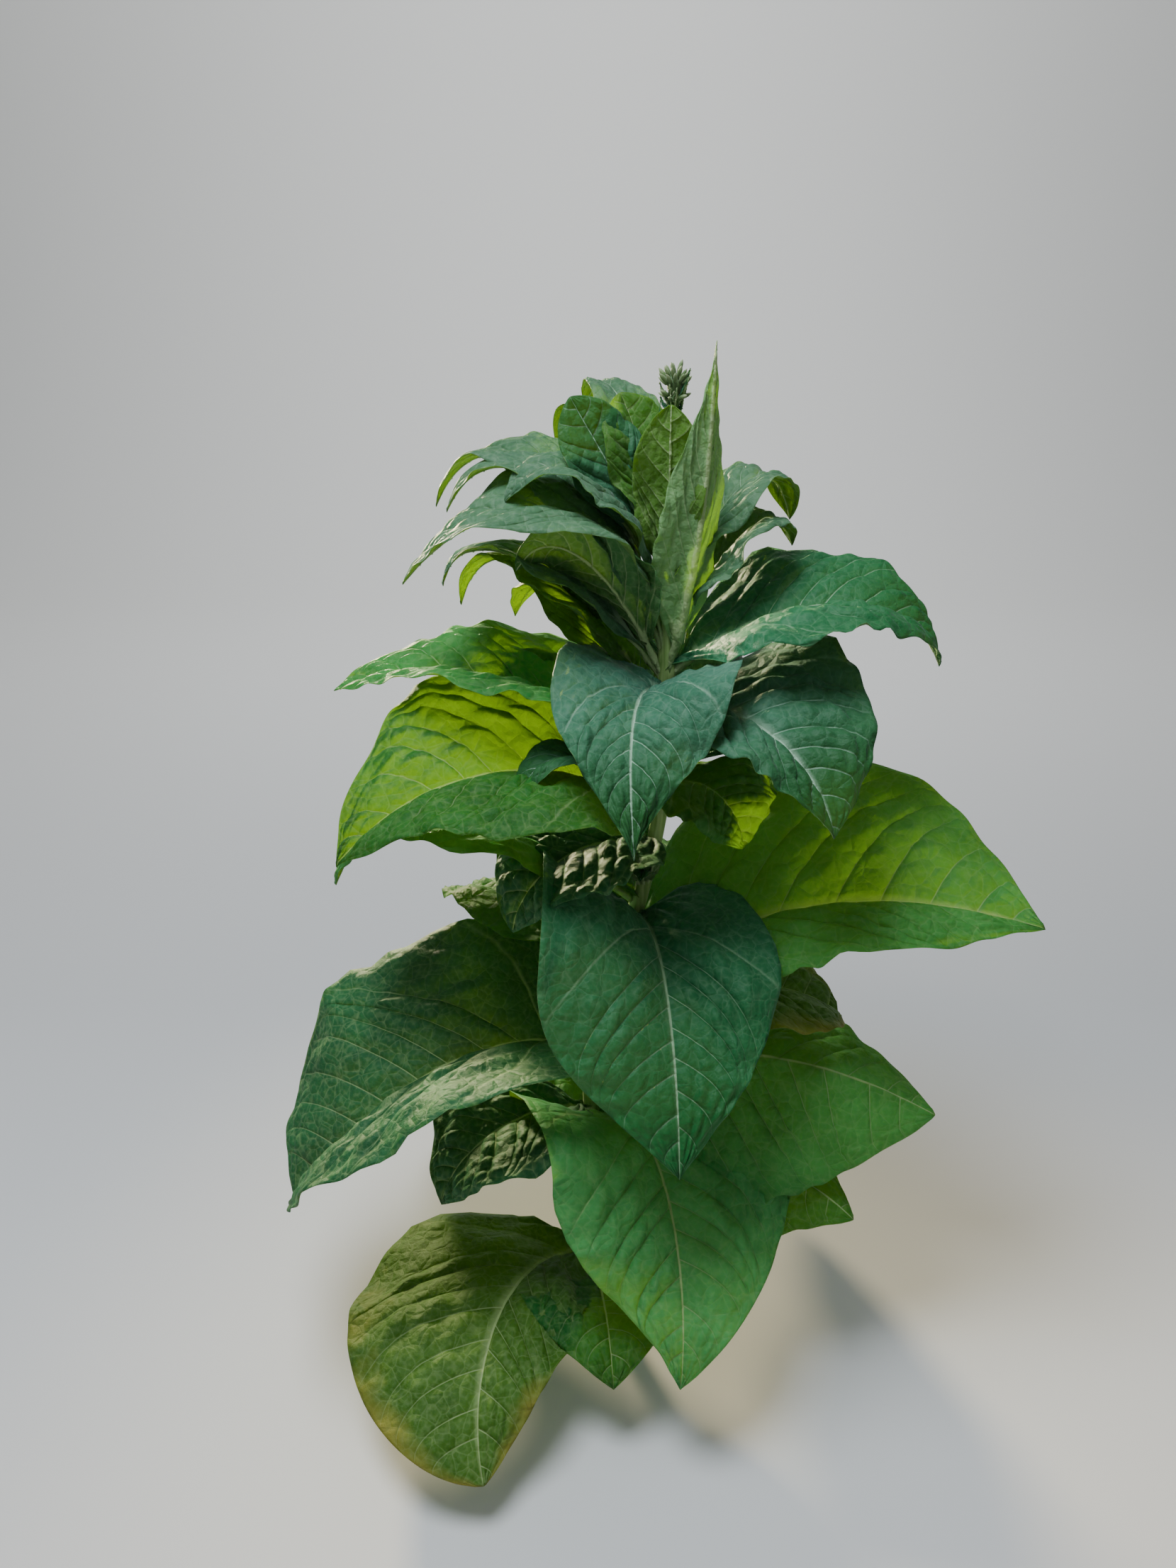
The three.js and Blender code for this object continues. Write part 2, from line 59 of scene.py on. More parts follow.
# The blade rule's shares, angles and powers
WING_SHARE = 0.3
LOBE_SHARE = 0.3
BOW_SHARE = 0.25
ROLL_SHARE = 0.15
FLATTER_FROM = 0.2
FLATTER_SHARE = 0.6
RIPPLE_LEAN = 0.8
RIPPLE_POWER = 0.7
HALVES_APART = 0.37
FOOT_FOLD = 50
FLAT_TIP_FOLD = 6
NARROWEST_BLADE = 0.8
CURVE_STEPS = 200

# The living blade, finer than the solids, in millimetres
BLADE_THICKNESS = 0.9
RIB_RADIUS = 2.8
RIB_GROOVE = 1.0
VEIN_HALF_WIDTH = 1.4
VEIN_FURROW = 1.4
VEIN_RIDGE = 1.2
PUCKER = 7
UNDULATION = 4.5
RUFFLE = 4
CRINKLE = 2

# The midrib: places of the points across it, in its own half widths, then shares and powers
RIB_COLUMNS = (0, 0.45, 1.0, 1.5)
RIB_NARROWING = 0.8
WIDEST_RIB = 0.45
RIB_FADE_POWER = 0.6
RIB_ROUNDNESS = 0.7
RIB_PALENESS = 1.3
EDGE_THINNING = 0.5

# The side veins: where they leave the midrib, as shares of its length, and how they slant and fade
FIRST_VEIN = 0.1
LAST_VEIN = 0.94
VEIN_STRAY = 0.018
FOOT_ROWS = (0.0, 0.02, 0.045)
TIP_ROWS = (0.985, 1.0)
ROWS_BETWEEN_VEINS = (0.28, 0.5, 0.72)
BEFORE_FOOT = -0.02
PAST_TIP = 1.02
VEIN_SLANT = 0.5
SLANT_SHARE = 0.25
SLANT_POWER = 0.9
SLANT_STRAY = 0.12
SLANT_WAVES = 1.7
VEIN_BEND = 0.12
VEIN_FADE = 0.45
VEIN_FADE_POWER = 0.25
SIDE_VEIN_PALENESS = 0.85

# The points across half a blade: few on a narrow leaf and many on a wide one
FEWEST_COLUMNS = 12
MOST_COLUMNS = 26
COLUMN_WIDTHS = (60, 350)
COLUMN_POWER = 0.95

# The skin: how its pillows, rolls, ruffles and crinkles are laid out over the blade
FULL_GROWN_WIDTH = 260
GROWTH_POWER = 0.6
GROWTH_LIMITS = (0.25, 1.1)
PILLOW_LIMITS = (0.35, 1.35)
PILLOW_POWER = 0.8
PILLOW_WAVES = 4.3
PILLOW_WAVE_SHARE = 0.5
PILLOW_WIDTH_POWER = 0.7
PILLOW_TIP_POWER = 0.3
MOST_GAPS = 64
SWELL_POWER = 0.6
ROLL_WAVES = 2.2
ROLL_COUNT = 6
RUFFLE_WAVES = 8.5
RUFFLE_DRIFT = 1.8
DRIFT_WAVES = 2.3
CRINKLE_WAVES = 13
CRINKLE_COUNT = 14
CRINKLE_WIDTH = 0.6
CRINKLE_AT_RIB = 0.3

# How far apart the marks of the skins are, in millimetres
MOTTLE = 70
SMALL_VEIN_GAP = 22
FINE_NET = 6.5
SKIN_GRAIN = 2.4
STEM_STREAK = 3.8
STEM_PATCH = 45
BUD_PATCH = 9
HAIR_GAP = 0.7

# How deep they are and how far the small veins wander, in millimetres
CUSHION_HEIGHT = 2.2
SKIN_DEPTH = 2
STREAK_DEPTH = 0.8
HAIR_DEPTH = 0.4
VEIN_WANDER = 12

# The skin of the stem, in millimetres and degrees: its ribs, then the joint below each leaf's foot
STEM_SIDES = 48
STEM_STEP = 4
STEM_RIBS = 9
STEM_RIB_HEIGHT = 0.25
STEM_RIB_SWAY = 25
STEM_RIB_WAVE = 90
STEM_RIB_START = 60
JOINT_SWELL = 0.5
JOINT_HEIGHT = 9
JOINT_PAD = 1.3
JOINT_PAD_ANGLE = 38
LEAF_RIDGE = 1.1
LEAF_RIDGE_ANGLE = 20
LEAF_RIDGE_LENGTH = 70
LEAF_RIDGE_TOP = 8
MOST_SWELL = 3.5

# What each kind of leaf has. In degrees, swing turns it on its way out, roll turns it round its midrib, the
# folds lift its halves and curl bows them. Wave is the height of its waves and rib the depth of its midrib.
# Full and point are the powers of its outline, neck and stalk the share and the width of its foot, lobe
# how far its halves reach back, bias how much wider the left one is and arch how long the handles of its
# curve are.
BROAD = dict(
    swing=0, roll=0, left_fold=20, right_fold=20, flat_tip=False, curl=-25, wave=8, waves=3,
    full=0.6, point=1, neck=0.09, stalk=0.13, lobe=0, bias=0, rib=6, arch=0.4, veins=9,
)
YOUNG = dict(BROAD, full=0.9, neck=0.18, stalk=0.14, rib=4, veins=8)
UPRIGHT = dict(BROAD, full=1, point=0.7, neck=0.2, rib=4, veins=8)
SHOOT_LEAF = dict(BROAD, wave=2, rib=2, stalk=0.3, veins=5)
BRACT = dict(BROAD, wave=1, rib=1, stalk=0.4, veins=3, curl=10, point=1.4)

# The head of buds: sizes in millimetres, slopes as the upward share of the dome's normal,
# and the tries at setting a bud for each square metre of the dome
HEAD_SINK = 3
DOME_SIDES = 24
BUD_LENGTH = 17
BUD_RADIUS = 2.7
BUD_SIDES = 10
BUD_RIBS = 5
BUD_RIB_DEPTH = 0.08
BUD_SPACING = 4.6
BUD_LIFT = 0.9
LOWEST_SLOPE = -0.15
SMALLEST_BUD = 0.7
BUD_TRIES = 1.0e6

# Height and radius along the dome in millimetres, and along a bud as shares of its length and radius
DOME_PROFILE = [(0, STEM_TOP_RADIUS), (6, 6), (14, 8.5), (21, 9), (27, 6.5), (30, 3), (31, 0.6)]
BUD_PROFILE = [
    (0, 0.4), (0.08, 0.75), (0.25, 0.95), (0.5, 1), (0.72, 0.85), (0.88, 0.5), (0.97, 0.2), (1, 0.05),
]

# The leaflets round the head, each turned on from the last by the golden angle
GOLDEN_ANGLE = 137.5
BRACT_COUNT = 9
BRACT_DROP = 26
BRACT_REACH = (13, 21)
BRACT_CLIMB = (22, 38)
BRACT_WIDTH = (7, 11)
BRACT_RISE = 62
BRACT_FALL = 75


def row(kind, name, height, turn, reach, tip, rise, fall, width, **changes):
    """One leaf of the plant: where it leaves the stem, where its tip is and how it lies."""
    leaf = dict(kind, name=name, height=height, turn=turn, reach=reach, tip=tip)
    return dict(leaf, rise=rise, fall=fall, width=width, **changes)


FRONT_LEAVES = [
    row(BROAD, "leaf_upper_front", 1015, 259, 255, 905, 40, -75, 240, bias=0.08, swing=28, left_fold=30,
        right_fold=32, flat_tip=True, curl=-12, full=0.45, point=1.4, lobe=0.6),
    row(BROAD, "leaf_middle_front", 690, 280, 290, 485, 42, -75, 345, swing=-8, bias=-0.12, left_fold=14,
        right_fold=46, flat_tip=True, curl=-15, full=0.45, point=1.1, lobe=0.7),
    row(BROAD, "leaf_low_front", 350, 291, 325, 150, 45, -78, 375, swing=-50, bias=0.05, left_fold=24,
        right_fold=32, flat_tip=True, full=0.4, point=1.1, lobe=0.9),
    row(BROAD, "leaf_lowest_front_left", 95, 250, 410, 75, 40, -45, 345, swing=40, bias=-0.35, left_fold=10,
        right_fold=5, wave=14, full=0.5, point=0.75, lobe=0.2),
    row(BROAD, "leaf_lowest_front", 70, 276, 275, 115, 38, -55, 260),
]

SIDE_LEAVES = [
    row(BROAD, "leaf_upper_front_right", 965, 312, 275, 910, 58, -75, 255, bias=0.3, left_fold=30,
        right_fold=8, curl=-15, full=0.5, lobe=0.2, arch=0.42),
    row(BROAD, "leaf_middle_left", 860, 200, 430, 845, 38, -50, 350, left_fold=10, right_fold=56,
        full=0.55, point=1.15),
    row(BROAD, "leaf_low_left", 480, 193, 445, 285, 30, -60, 400, swing=-10, bias=-0.05, left_fold=30,
        right_fold=44, wave=12, full=0.45, point=0.65, lobe=1),
    row(BROAD, "leaf_middle_right", 560, 351, 575, 725, 48, -15, 360, bias=0.4, left_fold=48, right_fold=-2,
        full=0.75),
    row(BROAD, "leaf_low_right", 400, 346, 485, 450, 44, -25, 400, bias=-0.1, left_fold=6,
        right_fold=-50, full=0.45, point=0.75),
    row(BROAD, "leaf_low_right_under", 265, 337, 395, 300, 40, -40, 270, left_fold=10, right_fold=-50,
        point=0.8),
    row(BROAD, "leaf_upper_right", 1045, 0, 345, 1055, 45, -70, 240, left_fold=40, right_fold=12),
    row(BROAD, "leaf_upper_left", 880, 179, 425, 1020, 58, -20, 270, bias=-0.08, left_fold=26,
        right_fold=30),
    row(BROAD, "leaf_middle_left_under", 720, 183, 410, 755, 38, -70, 260, arch=0.5, point=0.85),
    row(YOUNG, "leaf_small_left", 885, 212, 215, 910, 35, -80, 95, arch=0.5),
    row(BROAD, "leaf_middle_hanging_right", 885, 322, 125, 835, 48, -88, 230, arch=0.5),
    row(BROAD, "leaf_middle_hanging_left", 800, 216, 225, 745, 40, -85, 250),
    row(BROAD, "leaf_low_left_under", 370, 215, 255, 320, 40, -80, 250),
    row(BROAD, "leaf_low_right_behind", 470, 2, 350, 530, 50, -40, 280, point=0.5),
]

YOUNG_LEAVES = [
    row(BROAD, "young_leaf_tall_right", 1050, 322, 56, 1444, 76, 88, 92, bias=-0.15, roll=-18, left_fold=10,
        right_fold=25, curl=0, wave=3, full=0.9, point=1.7),
    row(UPRIGHT, "young_leaf_upright_left", 1165, 174, 122, 1380, 68, 60, 105, roll=-60),
    row(UPRIGHT, "young_leaf_upright_middle", 1168, 142, 78, 1382, 78, 60, 115, roll=-20),
    row(UPRIGHT, "young_leaf_upright_right", 1110, 258, 20, 1374, 82, 88, 90, right_fold=5, left_fold=5),
    row(YOUNG, "young_leaf_left_facing", 1035, 184, 188, 1180, 72, -60, 150, roll=48, left_fold=12,
        right_fold=12, arch=0.45),
    row(YOUNG, "young_leaf_left_arch", 1065, 186, 325, 1168, 84, -50, 170, swing=-25, roll=-10, arch=0.62),
    row(YOUNG, "young_leaf_left_inner", 1130, 190, 200, 1265, 74, -60, 140, roll=-8, arch=0.5),
    row(YOUNG, "young_leaf_left_high", 1070, 170, 280, 1240, 72, -65, 115, roll=-8, arch=0.5),
    row(YOUNG, "young_leaf_left_highest", 1100, 154, 335, 1230, 72, -65, 115, roll=-8, arch=0.5),
    row(YOUNG, "young_leaf_left_low", 1030, 173, 285, 1150, 66, -80, 100),
    row(YOUNG, "young_leaf_left_lower", 985, 160, 285, 1110, 60, -75, 150, arch=0.52),
    row(YOUNG, "young_leaf_left_lowest", 940, 146, 240, 1085, 62, -70, 150, arch=0.5),
    row(YOUNG, "young_leaf_right_arch", 1120, 34, 195, 1220, 70, -75, 115, arch=0.62),
    row(YOUNG, "young_leaf_right_low", 1085, 18, 165, 1198, 64, -70, 120, arch=0.5),
    row(YOUNG, "young_leaf_back_high", 1150, 118, 222, 1350, 76, -60, 90, arch=0.45),
    row(YOUNG, "young_leaf_back_left", 1135, 133, 205, 1300, 74, -80, 80, arch=0.58),
]

BACK_LEAVES = [
    row(BROAD, "leaf_back_1", 180, 60, 420, 130, 40, -50, 330),
    row(BROAD, "leaf_back_2", 250, 135, 430, 190, 40, -50, 330),
    row(BROAD, "leaf_back_3", 500, 85, 440, 430, 40, -55, 320),
    row(BROAD, "leaf_back_4", 590, 120, 420, 500, 40, -55, 310),
    row(BROAD, "leaf_back_5", 610, 66, 430, 560, 38, -50, 290),
    row(BROAD, "leaf_back_6", 790, 112, 410, 750, 45, -50, 280),
    row(BROAD, "leaf_back_7", 885, 55, 380, 870, 50, -50, 260),
    row(BROAD, "leaf_back_8", 975, 90, 320, 1010, 56, -50, 220),
]

SIDE_SHOOTS = [
    dict(name="side_shoot_low", height=590, turn=255, size=75),
    dict(name="side_shoot_middle", height=745, turn=262, size=85),
    dict(name="side_shoot_upper", height=905, turn=285, size=70),
]
# One leaf of a shoot: turn from the shoot's own, then reach and tip as shares of its size, and the fall
SHOOT_LEAVES = [
    dict(turn=-35, reach=0.55, tip=0.75, fall=20),
    dict(turn=0, reach=0.7, tip=0.4, fall=-40),
    dict(turn=35, reach=0.55, tip=0.75, fall=20),
]
SHOOT_RISE = 65
SHOOT_WIDTH_SHARE = 0.4
SHOOT_STEP = 2


def smooth(t):
    """0 up to 0, 1 from 1 on, and a soft rise between"""
    t = np.clip(t, 0, 1)
    return t * t * (3 - 2 * t)


def direction(turn, climb):
    """A unit vector. A turn of 0 points right, 90 away, 180 left and 270 to the front."""
    turn, climb = np.radians(turn), np.radians(climb)
    parts = np.broadcast_arrays(np.cos(climb) * np.cos(turn), np.cos(climb) * np.sin(turn), np.sin(climb))
    return np.stack(parts, axis=-1)


def unit(vectors):
    """The same directions, each of length 1"""
    return vectors / (np.linalg.norm(vectors, axis=-1, keepdims=True) + 1e-12)


def stem_axis(z):
    """The stem stands straight, then leans to the right and straightens again."""
    z = np.asarray(z, float)
    return np.stack([LEAN * smooth((z - LEAN_START) / LEAN_HEIGHT), 0 * z, z], axis=-1)


def stem_radius(z):
    """A true taper, with a flare at the foot"""
    taper = (STEM_FOOT_RADIUS - STEM_TOP_RADIUS) * (z / STEM_HEIGHT) ** TAPER_POWER
    return STEM_FOOT_RADIUS - taper + FLARE * np.exp(-z / FLARE_HEIGHT)


def midrib_curve(leaf):
    """Foot, two handles and tip of the arch that the midrib follows."""
    axis = stem_axis(leaf["height"])
    out = direction(leaf["turn"], 0)
    foot = axis + out * (stem_radius(leaf["height"]) - FOOT_SINK)
    tip = axis * (1, 1, 0) + out * leaf["reach"] + (0, 0, leaf["tip"])
    handle = np.linalg.norm(tip - foot) * leaf["arch"]
    climbing = foot + direction(leaf["turn"] - leaf["swing"], leaf["rise"]) * handle
    ending = tip - direction(leaf["turn"] + leaf["swing"], leaf["fall"]) * handle
    return foot, climbing, ending, tip


def along_midrib(leaf, u):
    """Places, and the directions along, sideways and up, at the shares u of the midrib's length."""
    foot, climbing, ending, tip = midrib_curve(leaf)
    t = np.linspace(0, 1, CURVE_STEPS + 1)

    def place(t):
        t = np.asarray(t)[..., None]
        lower = foot * (1 - t) ** 3 + 3 * climbing * t * (1 - t) ** 2
        return lower + 3 * ending * t * t * (1 - t) + tip * t**3

    steps = np.linalg.norm(np.diff(place(t), axis=0), axis=1)
    run = np.concatenate([[0], np.cumsum(steps)])
    at = np.interp(u, run / run[-1], t)
    w = at[..., None]
    leaving = (climbing - foot) * (1 - w) ** 2 + 2 * (ending - climbing) * w * (1 - w)
    along = unit(leaving + (tip - ending) * w * w)
    side = direction(leaf["turn"] + leaf["swing"] * (2 * u - 1) + 90, 0)
    side = unit(side - along * (side * along).sum(-1, keepdims=True))
    up = np.cross(along, side)
    roll = (np.radians(leaf["roll"]) * smooth(u / ROLL_SHARE))[..., None]
    side, up = side * np.cos(roll) + up * np.sin(roll), up * np.cos(roll) - side * np.sin(roll)
    return place(at), along, side, up, run[-1]


def half_width(leaf, u):
    """Half the blade's width: a narrow winged foot, then a pointed oval."""
    t = np.clip((u - leaf["neck"]) / (1 - leaf["neck"]), 0, 1)
    full, point = leaf["full"], leaf["point"]
    most = (full / (full + point)) ** full * (point / (full + point)) ** point
    blade = t**full * (1 - t) ** point / most
    foot = leaf["stalk"] * np.exp(-((u / WING_SHARE) ** 2))
    return np.maximum(np.hypot(blade, foot) * leaf["width"], NARROWEST_BLADE) / 2


def across_blade(leaf, u, side, v):
    """How far out, up and back a point of one half blade lies from the midrib."""
    near = leaf["left_fold"] if side > 0 else leaf["right_fold"]
    far = FLAT_TIP_FOLD if leaf["flat_tip"] else near
    along = near + (far - near) * smooth((u - FLATTER_FROM) / FLATTER_SHARE)
    fold = np.radians(along + (FOOT_FOLD - along) * np.exp(-((u / leaf["neck"]) ** 2)))
    bow = np.radians(leaf["curl"]) * smooth(u / BOW_SHARE) + 1e-6
    half = half_width(leaf, u) * (1 + side * leaf["bias"])
    swell = np.clip(np.sin(np.pi * u**RIPPLE_LEAN), 0, None) ** RIPPLE_POWER
    ripple = swell * np.sin(2 * np.pi * (leaf["waves"] * u + (HALVES_APART if side < 0 else 0)))
    out = side * half * (np.sin(fold + bow * v) - np.sin(fold)) / bow
    up = half * (np.cos(fold) - np.cos(fold + bow * v)) / bow + leaf["wave"] * v * v * ripple
    back = leaf["lobe"] * half_width(leaf, u) * (1 - smooth((u - leaf["neck"]) / LOBE_SHARE)) * v * v
    return out, up, back


def vein_rows(leaf, length, chance):
    """Shares of the midrib that the mesh's rows leave from, and the side veins among them.

    Side veins leave the midrib by turns to the left and the right. Each has three close rows,
    so that it is a crisp line, and the blade between two veins has three more.
    """
    count = 2 * leaf["veins"]
    spread = np.linspace(FIRST_VEIN, LAST_VEIN, count) + chance.uniform(-VEIN_STRAY, VEIN_STRAY, count)
    width = VEIN_HALF_WIDTH / length
    rows = dict.fromkeys([*FOOT_ROWS, *TIP_ROWS], 0)
    for k, share in enumerate(spread):
        side = 1 if k % 2 else -1
        rows[float(share)] = side
        rows[float(share - width)] = 0
        rows[float(share + width)] = 0
    for low, high in zip([FOOT_ROWS[-1], *spread[:-1]], spread):
        for part in ROWS_BETWEEN_VEINS:
            rows[float(low + (high - low) * part)] = 0
    shares = np.array(sorted(rows))
    return shares, np.array([rows[s] for s in shares])


def phase_between(shares, marks, side):
    """How far each row lies between the two nearest veins of its side, and which gap it is in."""
    at = np.concatenate([[BEFORE_FOOT], shares[marks == side], [PAST_TIP]])
    gap = np.clip(np.searchsorted(at, shares, side="right") - 1, 0, len(at) - 2)
    return (shares - at[gap]) / (at[gap + 1] - at[gap]), gap


def smooth_chance(u, v, chance, waves, count):
    """A gentle surface of a few crossed ripples, between about -1 and 1."""
    total = np.zeros_like(u)
    for _ in range(count):
        along, across = chance.uniform(-waves, waves, 2)
        total += np.sin(2 * np.pi * (along * u + across * v) + chance.uniform(0, 2 * np.pi))
    return total / math.sqrt(count)


def half_blade(leaf, shares, marks, side, chance):
    """Grid of one half: u, v, how strong the vein is, how far the skin rises, and the midrib's radius."""
    half = half_width(leaf, shares) * (1 + side * leaf["bias"])
    rib = RIB_RADIUS * leaf["rib"] / BROAD["rib"] * (1 - RIB_NARROWING * shares)
    rib = np.minimum(rib, half * WIDEST_RIB)
    first = rib[:, None] * np.array(RIB_COLUMNS) / half[:, None]
    columns = int(np.interp(leaf["width"], COLUMN_WIDTHS, (FEWEST_COLUMNS, MOST_COLUMNS)))
    rest = np.linspace(0, 1, columns) ** COLUMN_POWER
    v = np.concatenate([first, first[:, -1:] + (1 - first[:, -1:]) * rest[1:]], axis=1)
    slant = VEIN_SLANT * smooth(shares / SLANT_SHARE) * (1 - shares) ** SLANT_POWER
    stray = np.sin(2 * np.pi * (SLANT_WAVES * shares + chance.uniform(0, 1)))
    slant = slant * (1 + SLANT_STRAY * stray)
    u = shares[:, None] + slant[:, None] * v * (1 - VEIN_BEND + VEIN_BEND * v)
    strength = (marks == side)[:, None] * (1 - v) ** VEIN_FADE_POWER * (1 - VEIN_FADE * v)
    return u, v, strength, risen_skin(leaf, shares, marks, side, u, v, chance), rib


def risen_skin(leaf, shares, marks, side, u, v, chance):
    """How far the skin stands up from the plain blade, in millimetres.

    It is pillowed between the veins, rolls slowly, is ruffled at the margin and finely crinkled,
    and all of it is less on a narrow young leaf.
    """
    phase, gap = phase_between(shares, marks, side)
    lump = chance.uniform(*PILLOW_LIMITS, MOST_GAPS)[gap]
    shift = chance.uniform(0, 1, MOST_GAPS)[gap][:, None]
    waves = 1 + PILLOW_WAVE_SHARE * np.sin(2 * np.pi * (v * PILLOW_WAVES + shift))
    pillow = (np.sin(np.pi * np.clip(phase, 0, 1)) ** PILLOW_POWER * lump)[:, None]
    grown = np.clip((leaf["width"] / FULL_GROWN_WIDTH) ** GROWTH_POWER, *GROWTH_LIMITS)
    across = np.sin(np.pi * np.clip(v, 0, 1) ** PILLOW_WIDTH_POWER)
    skin = PUCKER * grown * pillow * waves * across * (1 - shares[:, None]) ** PILLOW_TIP_POWER
    swell = np.sin(np.pi * np.clip(u, 0, 1)) ** SWELL_POWER
    skin = skin + UNDULATION * grown * smooth_chance(u, v, chance, ROLL_WAVES, ROLL_COUNT) * swell * v
    start = chance.uniform(0, 1)
    drift = np.sin(2 * np.pi * (DRIFT_WAVES * u + chance.uniform(0, 1)))
    ruffles = np.sin(2 * np.pi * (RUFFLE_WAVES * u + start) + RUFFLE_DRIFT * drift)
    skin = skin + RUFFLE * grown * ruffles * swell * v**4
    crinkles = smooth_chance(u, v * CRINKLE_WIDTH, chance, CRINKLE_WAVES, CRINKLE_COUNT)
    return skin + CRINKLE * grown * crinkles * swell * (CRINKLE_AT_RIB + (1 - CRINKLE_AT_RIB) * v)


def surface_normals(points):
    """The upward normal at each point of a grid"""
    along = np.gradient(points, axis=0)
    across = np.gradient(points, axis=1)
    return unit(np.cross(along, across))


def blade_grid(leaf, chance):
    """Points of the upper and the under surface, with the values that the finishes read."""
    length = along_midrib(leaf, np.array([0.0]))[4]
    shares, marks = vein_rows(leaf, length, chance)
    halves = []
    for side in (-1, 1):
        u, v, vein, skin, rib = half_blade(leaf, shares, marks, side, chance)
        place, along, sideways, up, _ = along_midrib(leaf, u)
        out, rise, back = across_blade(leaf, u, side, v)
        points = place + sideways * out[..., None] + up * (rise + skin)[..., None] - along * back[..., None]
        away = np.abs(v * half_width(leaf, shares)[:, None]) / rib[:, None]
        near_rib = np.clip(RIB_COLUMNS[-1] - away, 0, 1)
        order = slice(None, None, -1) if side < 0 else slice(1, None)
        halves.append([a[:, order] for a in (points, vein, near_rib, u, v * side)])
    points, vein, near_rib, u, v = (np.concatenate(pair, axis=1) for pair in zip(*halves))
    normal = surface_normals(points)
    fade = np.clip(1 - u, 0, 1)[..., None] ** RIB_FADE_POWER
    ridge = leaf["rib"] * near_rib[..., None] ** RIB_ROUNDNESS * fade
    thick = BLADE_THICKNESS * (1 - EDGE_THINNING * v[..., None] ** 4)
    groove = RIB_GROOVE * near_rib[..., None] * fade
    upper = points + normal * (thick / 2 - groove - VEIN_FURROW * vein[..., None])
    under = points - normal * (thick / 2 + ridge + VEIN_RIDGE * vein[..., None])
    colour_vein = np.maximum(SIDE_VEIN_PALENESS * vein, np.clip(near_rib * RIB_PALENESS, 0, 1))
    return upper, under, colour_vein, u, v


def closed_blade(upper, under, colour_vein, u, v):
    """Vertices, faces and the values of each vertex of one closed blade. Upper faces come first."""
    rows, columns = u.shape
    number = np.arange(rows * columns).reshape(rows, columns)
    a, b = number[:-1, :-1].ravel(), number[:-1, 1:].ravel()
    c, d = number[1:, 1:].ravel(), number[1:, :-1].ravel()
    below = rows * columns
    top = np.stack([a, d, c, b], axis=1)
    bottom = np.stack([a, b, c, d], axis=1) + below
    rims = []
    for line, flip in ((number[:, 0], 0), (number[:, -1], 1), (number[0], 1), (number[-1], 0)):
        p, q = line[:-1], line[1:]
        wall = np.stack([p, p + below, q + below, q], axis=1)
        rims.append(wall[:, ::-1] if flip else wall)
    faces = np.concatenate([top, bottom, *rims])
    vertices = np.concatenate([upper.reshape(-1, 3), under.reshape(-1, 3)])
    values = {
        "vein": np.tile(colour_vein.ravel(), 2),
        "margin": np.tile(np.abs(v).ravel(), 2),
        "toward_tip": np.tile(u.ravel(), 2),
    }
    return vertices, faces, values, len(top)


def mesh_piece(name, vertices, faces, values=(), finishes=(), first_under=None):
    """A mesh object at the origin, in metres, with smooth shading and its values per vertex."""
    mesh = bpy.data.meshes.new(name)
    mesh.vertices.add(len(vertices))
    mesh.vertices.foreach_set("co", (np.asarray(vertices) * MM).astype(np.float32).ravel())
    faces = np.asarray(faces)
    sides = faces.shape[1]
    mesh.loops.add(faces.size)
    mesh.loops.foreach_set("vertex_index", faces.astype(np.int32).ravel())
    mesh.polygons.add(len(faces))
    mesh.polygons.foreach_set("loop_start", np.arange(0, faces.size, sides, dtype=np.int32))
    mesh.update(calc_edges=True)
    mesh.polygons.foreach_set("use_smooth", np.ones(len(faces), bool))
    for key, value in dict(values).items():
        attribute = mesh.attributes.new(key, "FLOAT", "POINT")
        attribute.data.foreach_set("value", np.asarray(value, np.float32))
    for finish in finishes:
        mesh.materials.append(finish)
    if first_under is not None:
        slots = np.zeros(len(faces), np.int32)
        slots[first_under:] = 1
        mesh.polygons.foreach_set("material_index", slots)
    mesh.validate()
    piece = bpy.data.objects.new(name, mesh)
    bpy.context.scene.collection.objects.link(piece)
    return piece


def dress(piece, node):
    """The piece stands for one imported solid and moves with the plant."""
    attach(piece, "root")
    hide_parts(node)


def linear(colour):
    """Turns an sRGB hex value into linear red, green, blue and a full alpha."""
    parts = [(colour >> shift & 255) / 255 for shift in (16, 8, 0)]
    return [p / 12.92 if p <= 0.04045 else ((p + 0.055) / 1.055) ** 2.4 for p in parts] + [1.0]


def add(tree, kind, inputs=(), **settings):
    """Adds a node, sets what it is given, and links each input that is another node's output."""
    node = tree.nodes.new(kind)
    for key, value in settings.items():
        setattr(node, key, value)
    for key, value in dict(inputs).items():
        socket = node.inputs[key]
        if isinstance(value, bpy.types.NodeSocket):
            tree.links.new(value, socket)
        else:
            socket.default_value = value
    return node


def repeats(millimetres):
    """Scale of a pattern whose marks lie this far apart"""
    return 1 / (millimetres * MM)


def empty_finish(name):
    """A material with no nodes yet, and its node tree"""
    material = bpy.data.materials.new(name)
    material.use_nodes = True
    material.node_tree.nodes.clear()
    return material, material.node_tree


def painted(tree, colour, layers):
    """Lays colours over a first one, and gives the socket of the last.

    Each layer has the value that it follows, the two figures that the value goes between,
    how much the colour covers at the first and at the second, and the colour.
    """
    for value, low, high, at_low, at_high, over in layers:
        cover = add(tree, "ShaderNodeMapRange", {
            0: value, 1: low, 2: high, 3: at_low, 4: at_high,
        }).outputs[0]
        mix = add(tree, "ShaderNodeMix", {0: cover, 6: colour, 7: linear(over)}, data_type="RGBA")
        colour = mix.outputs[2]
    return colour


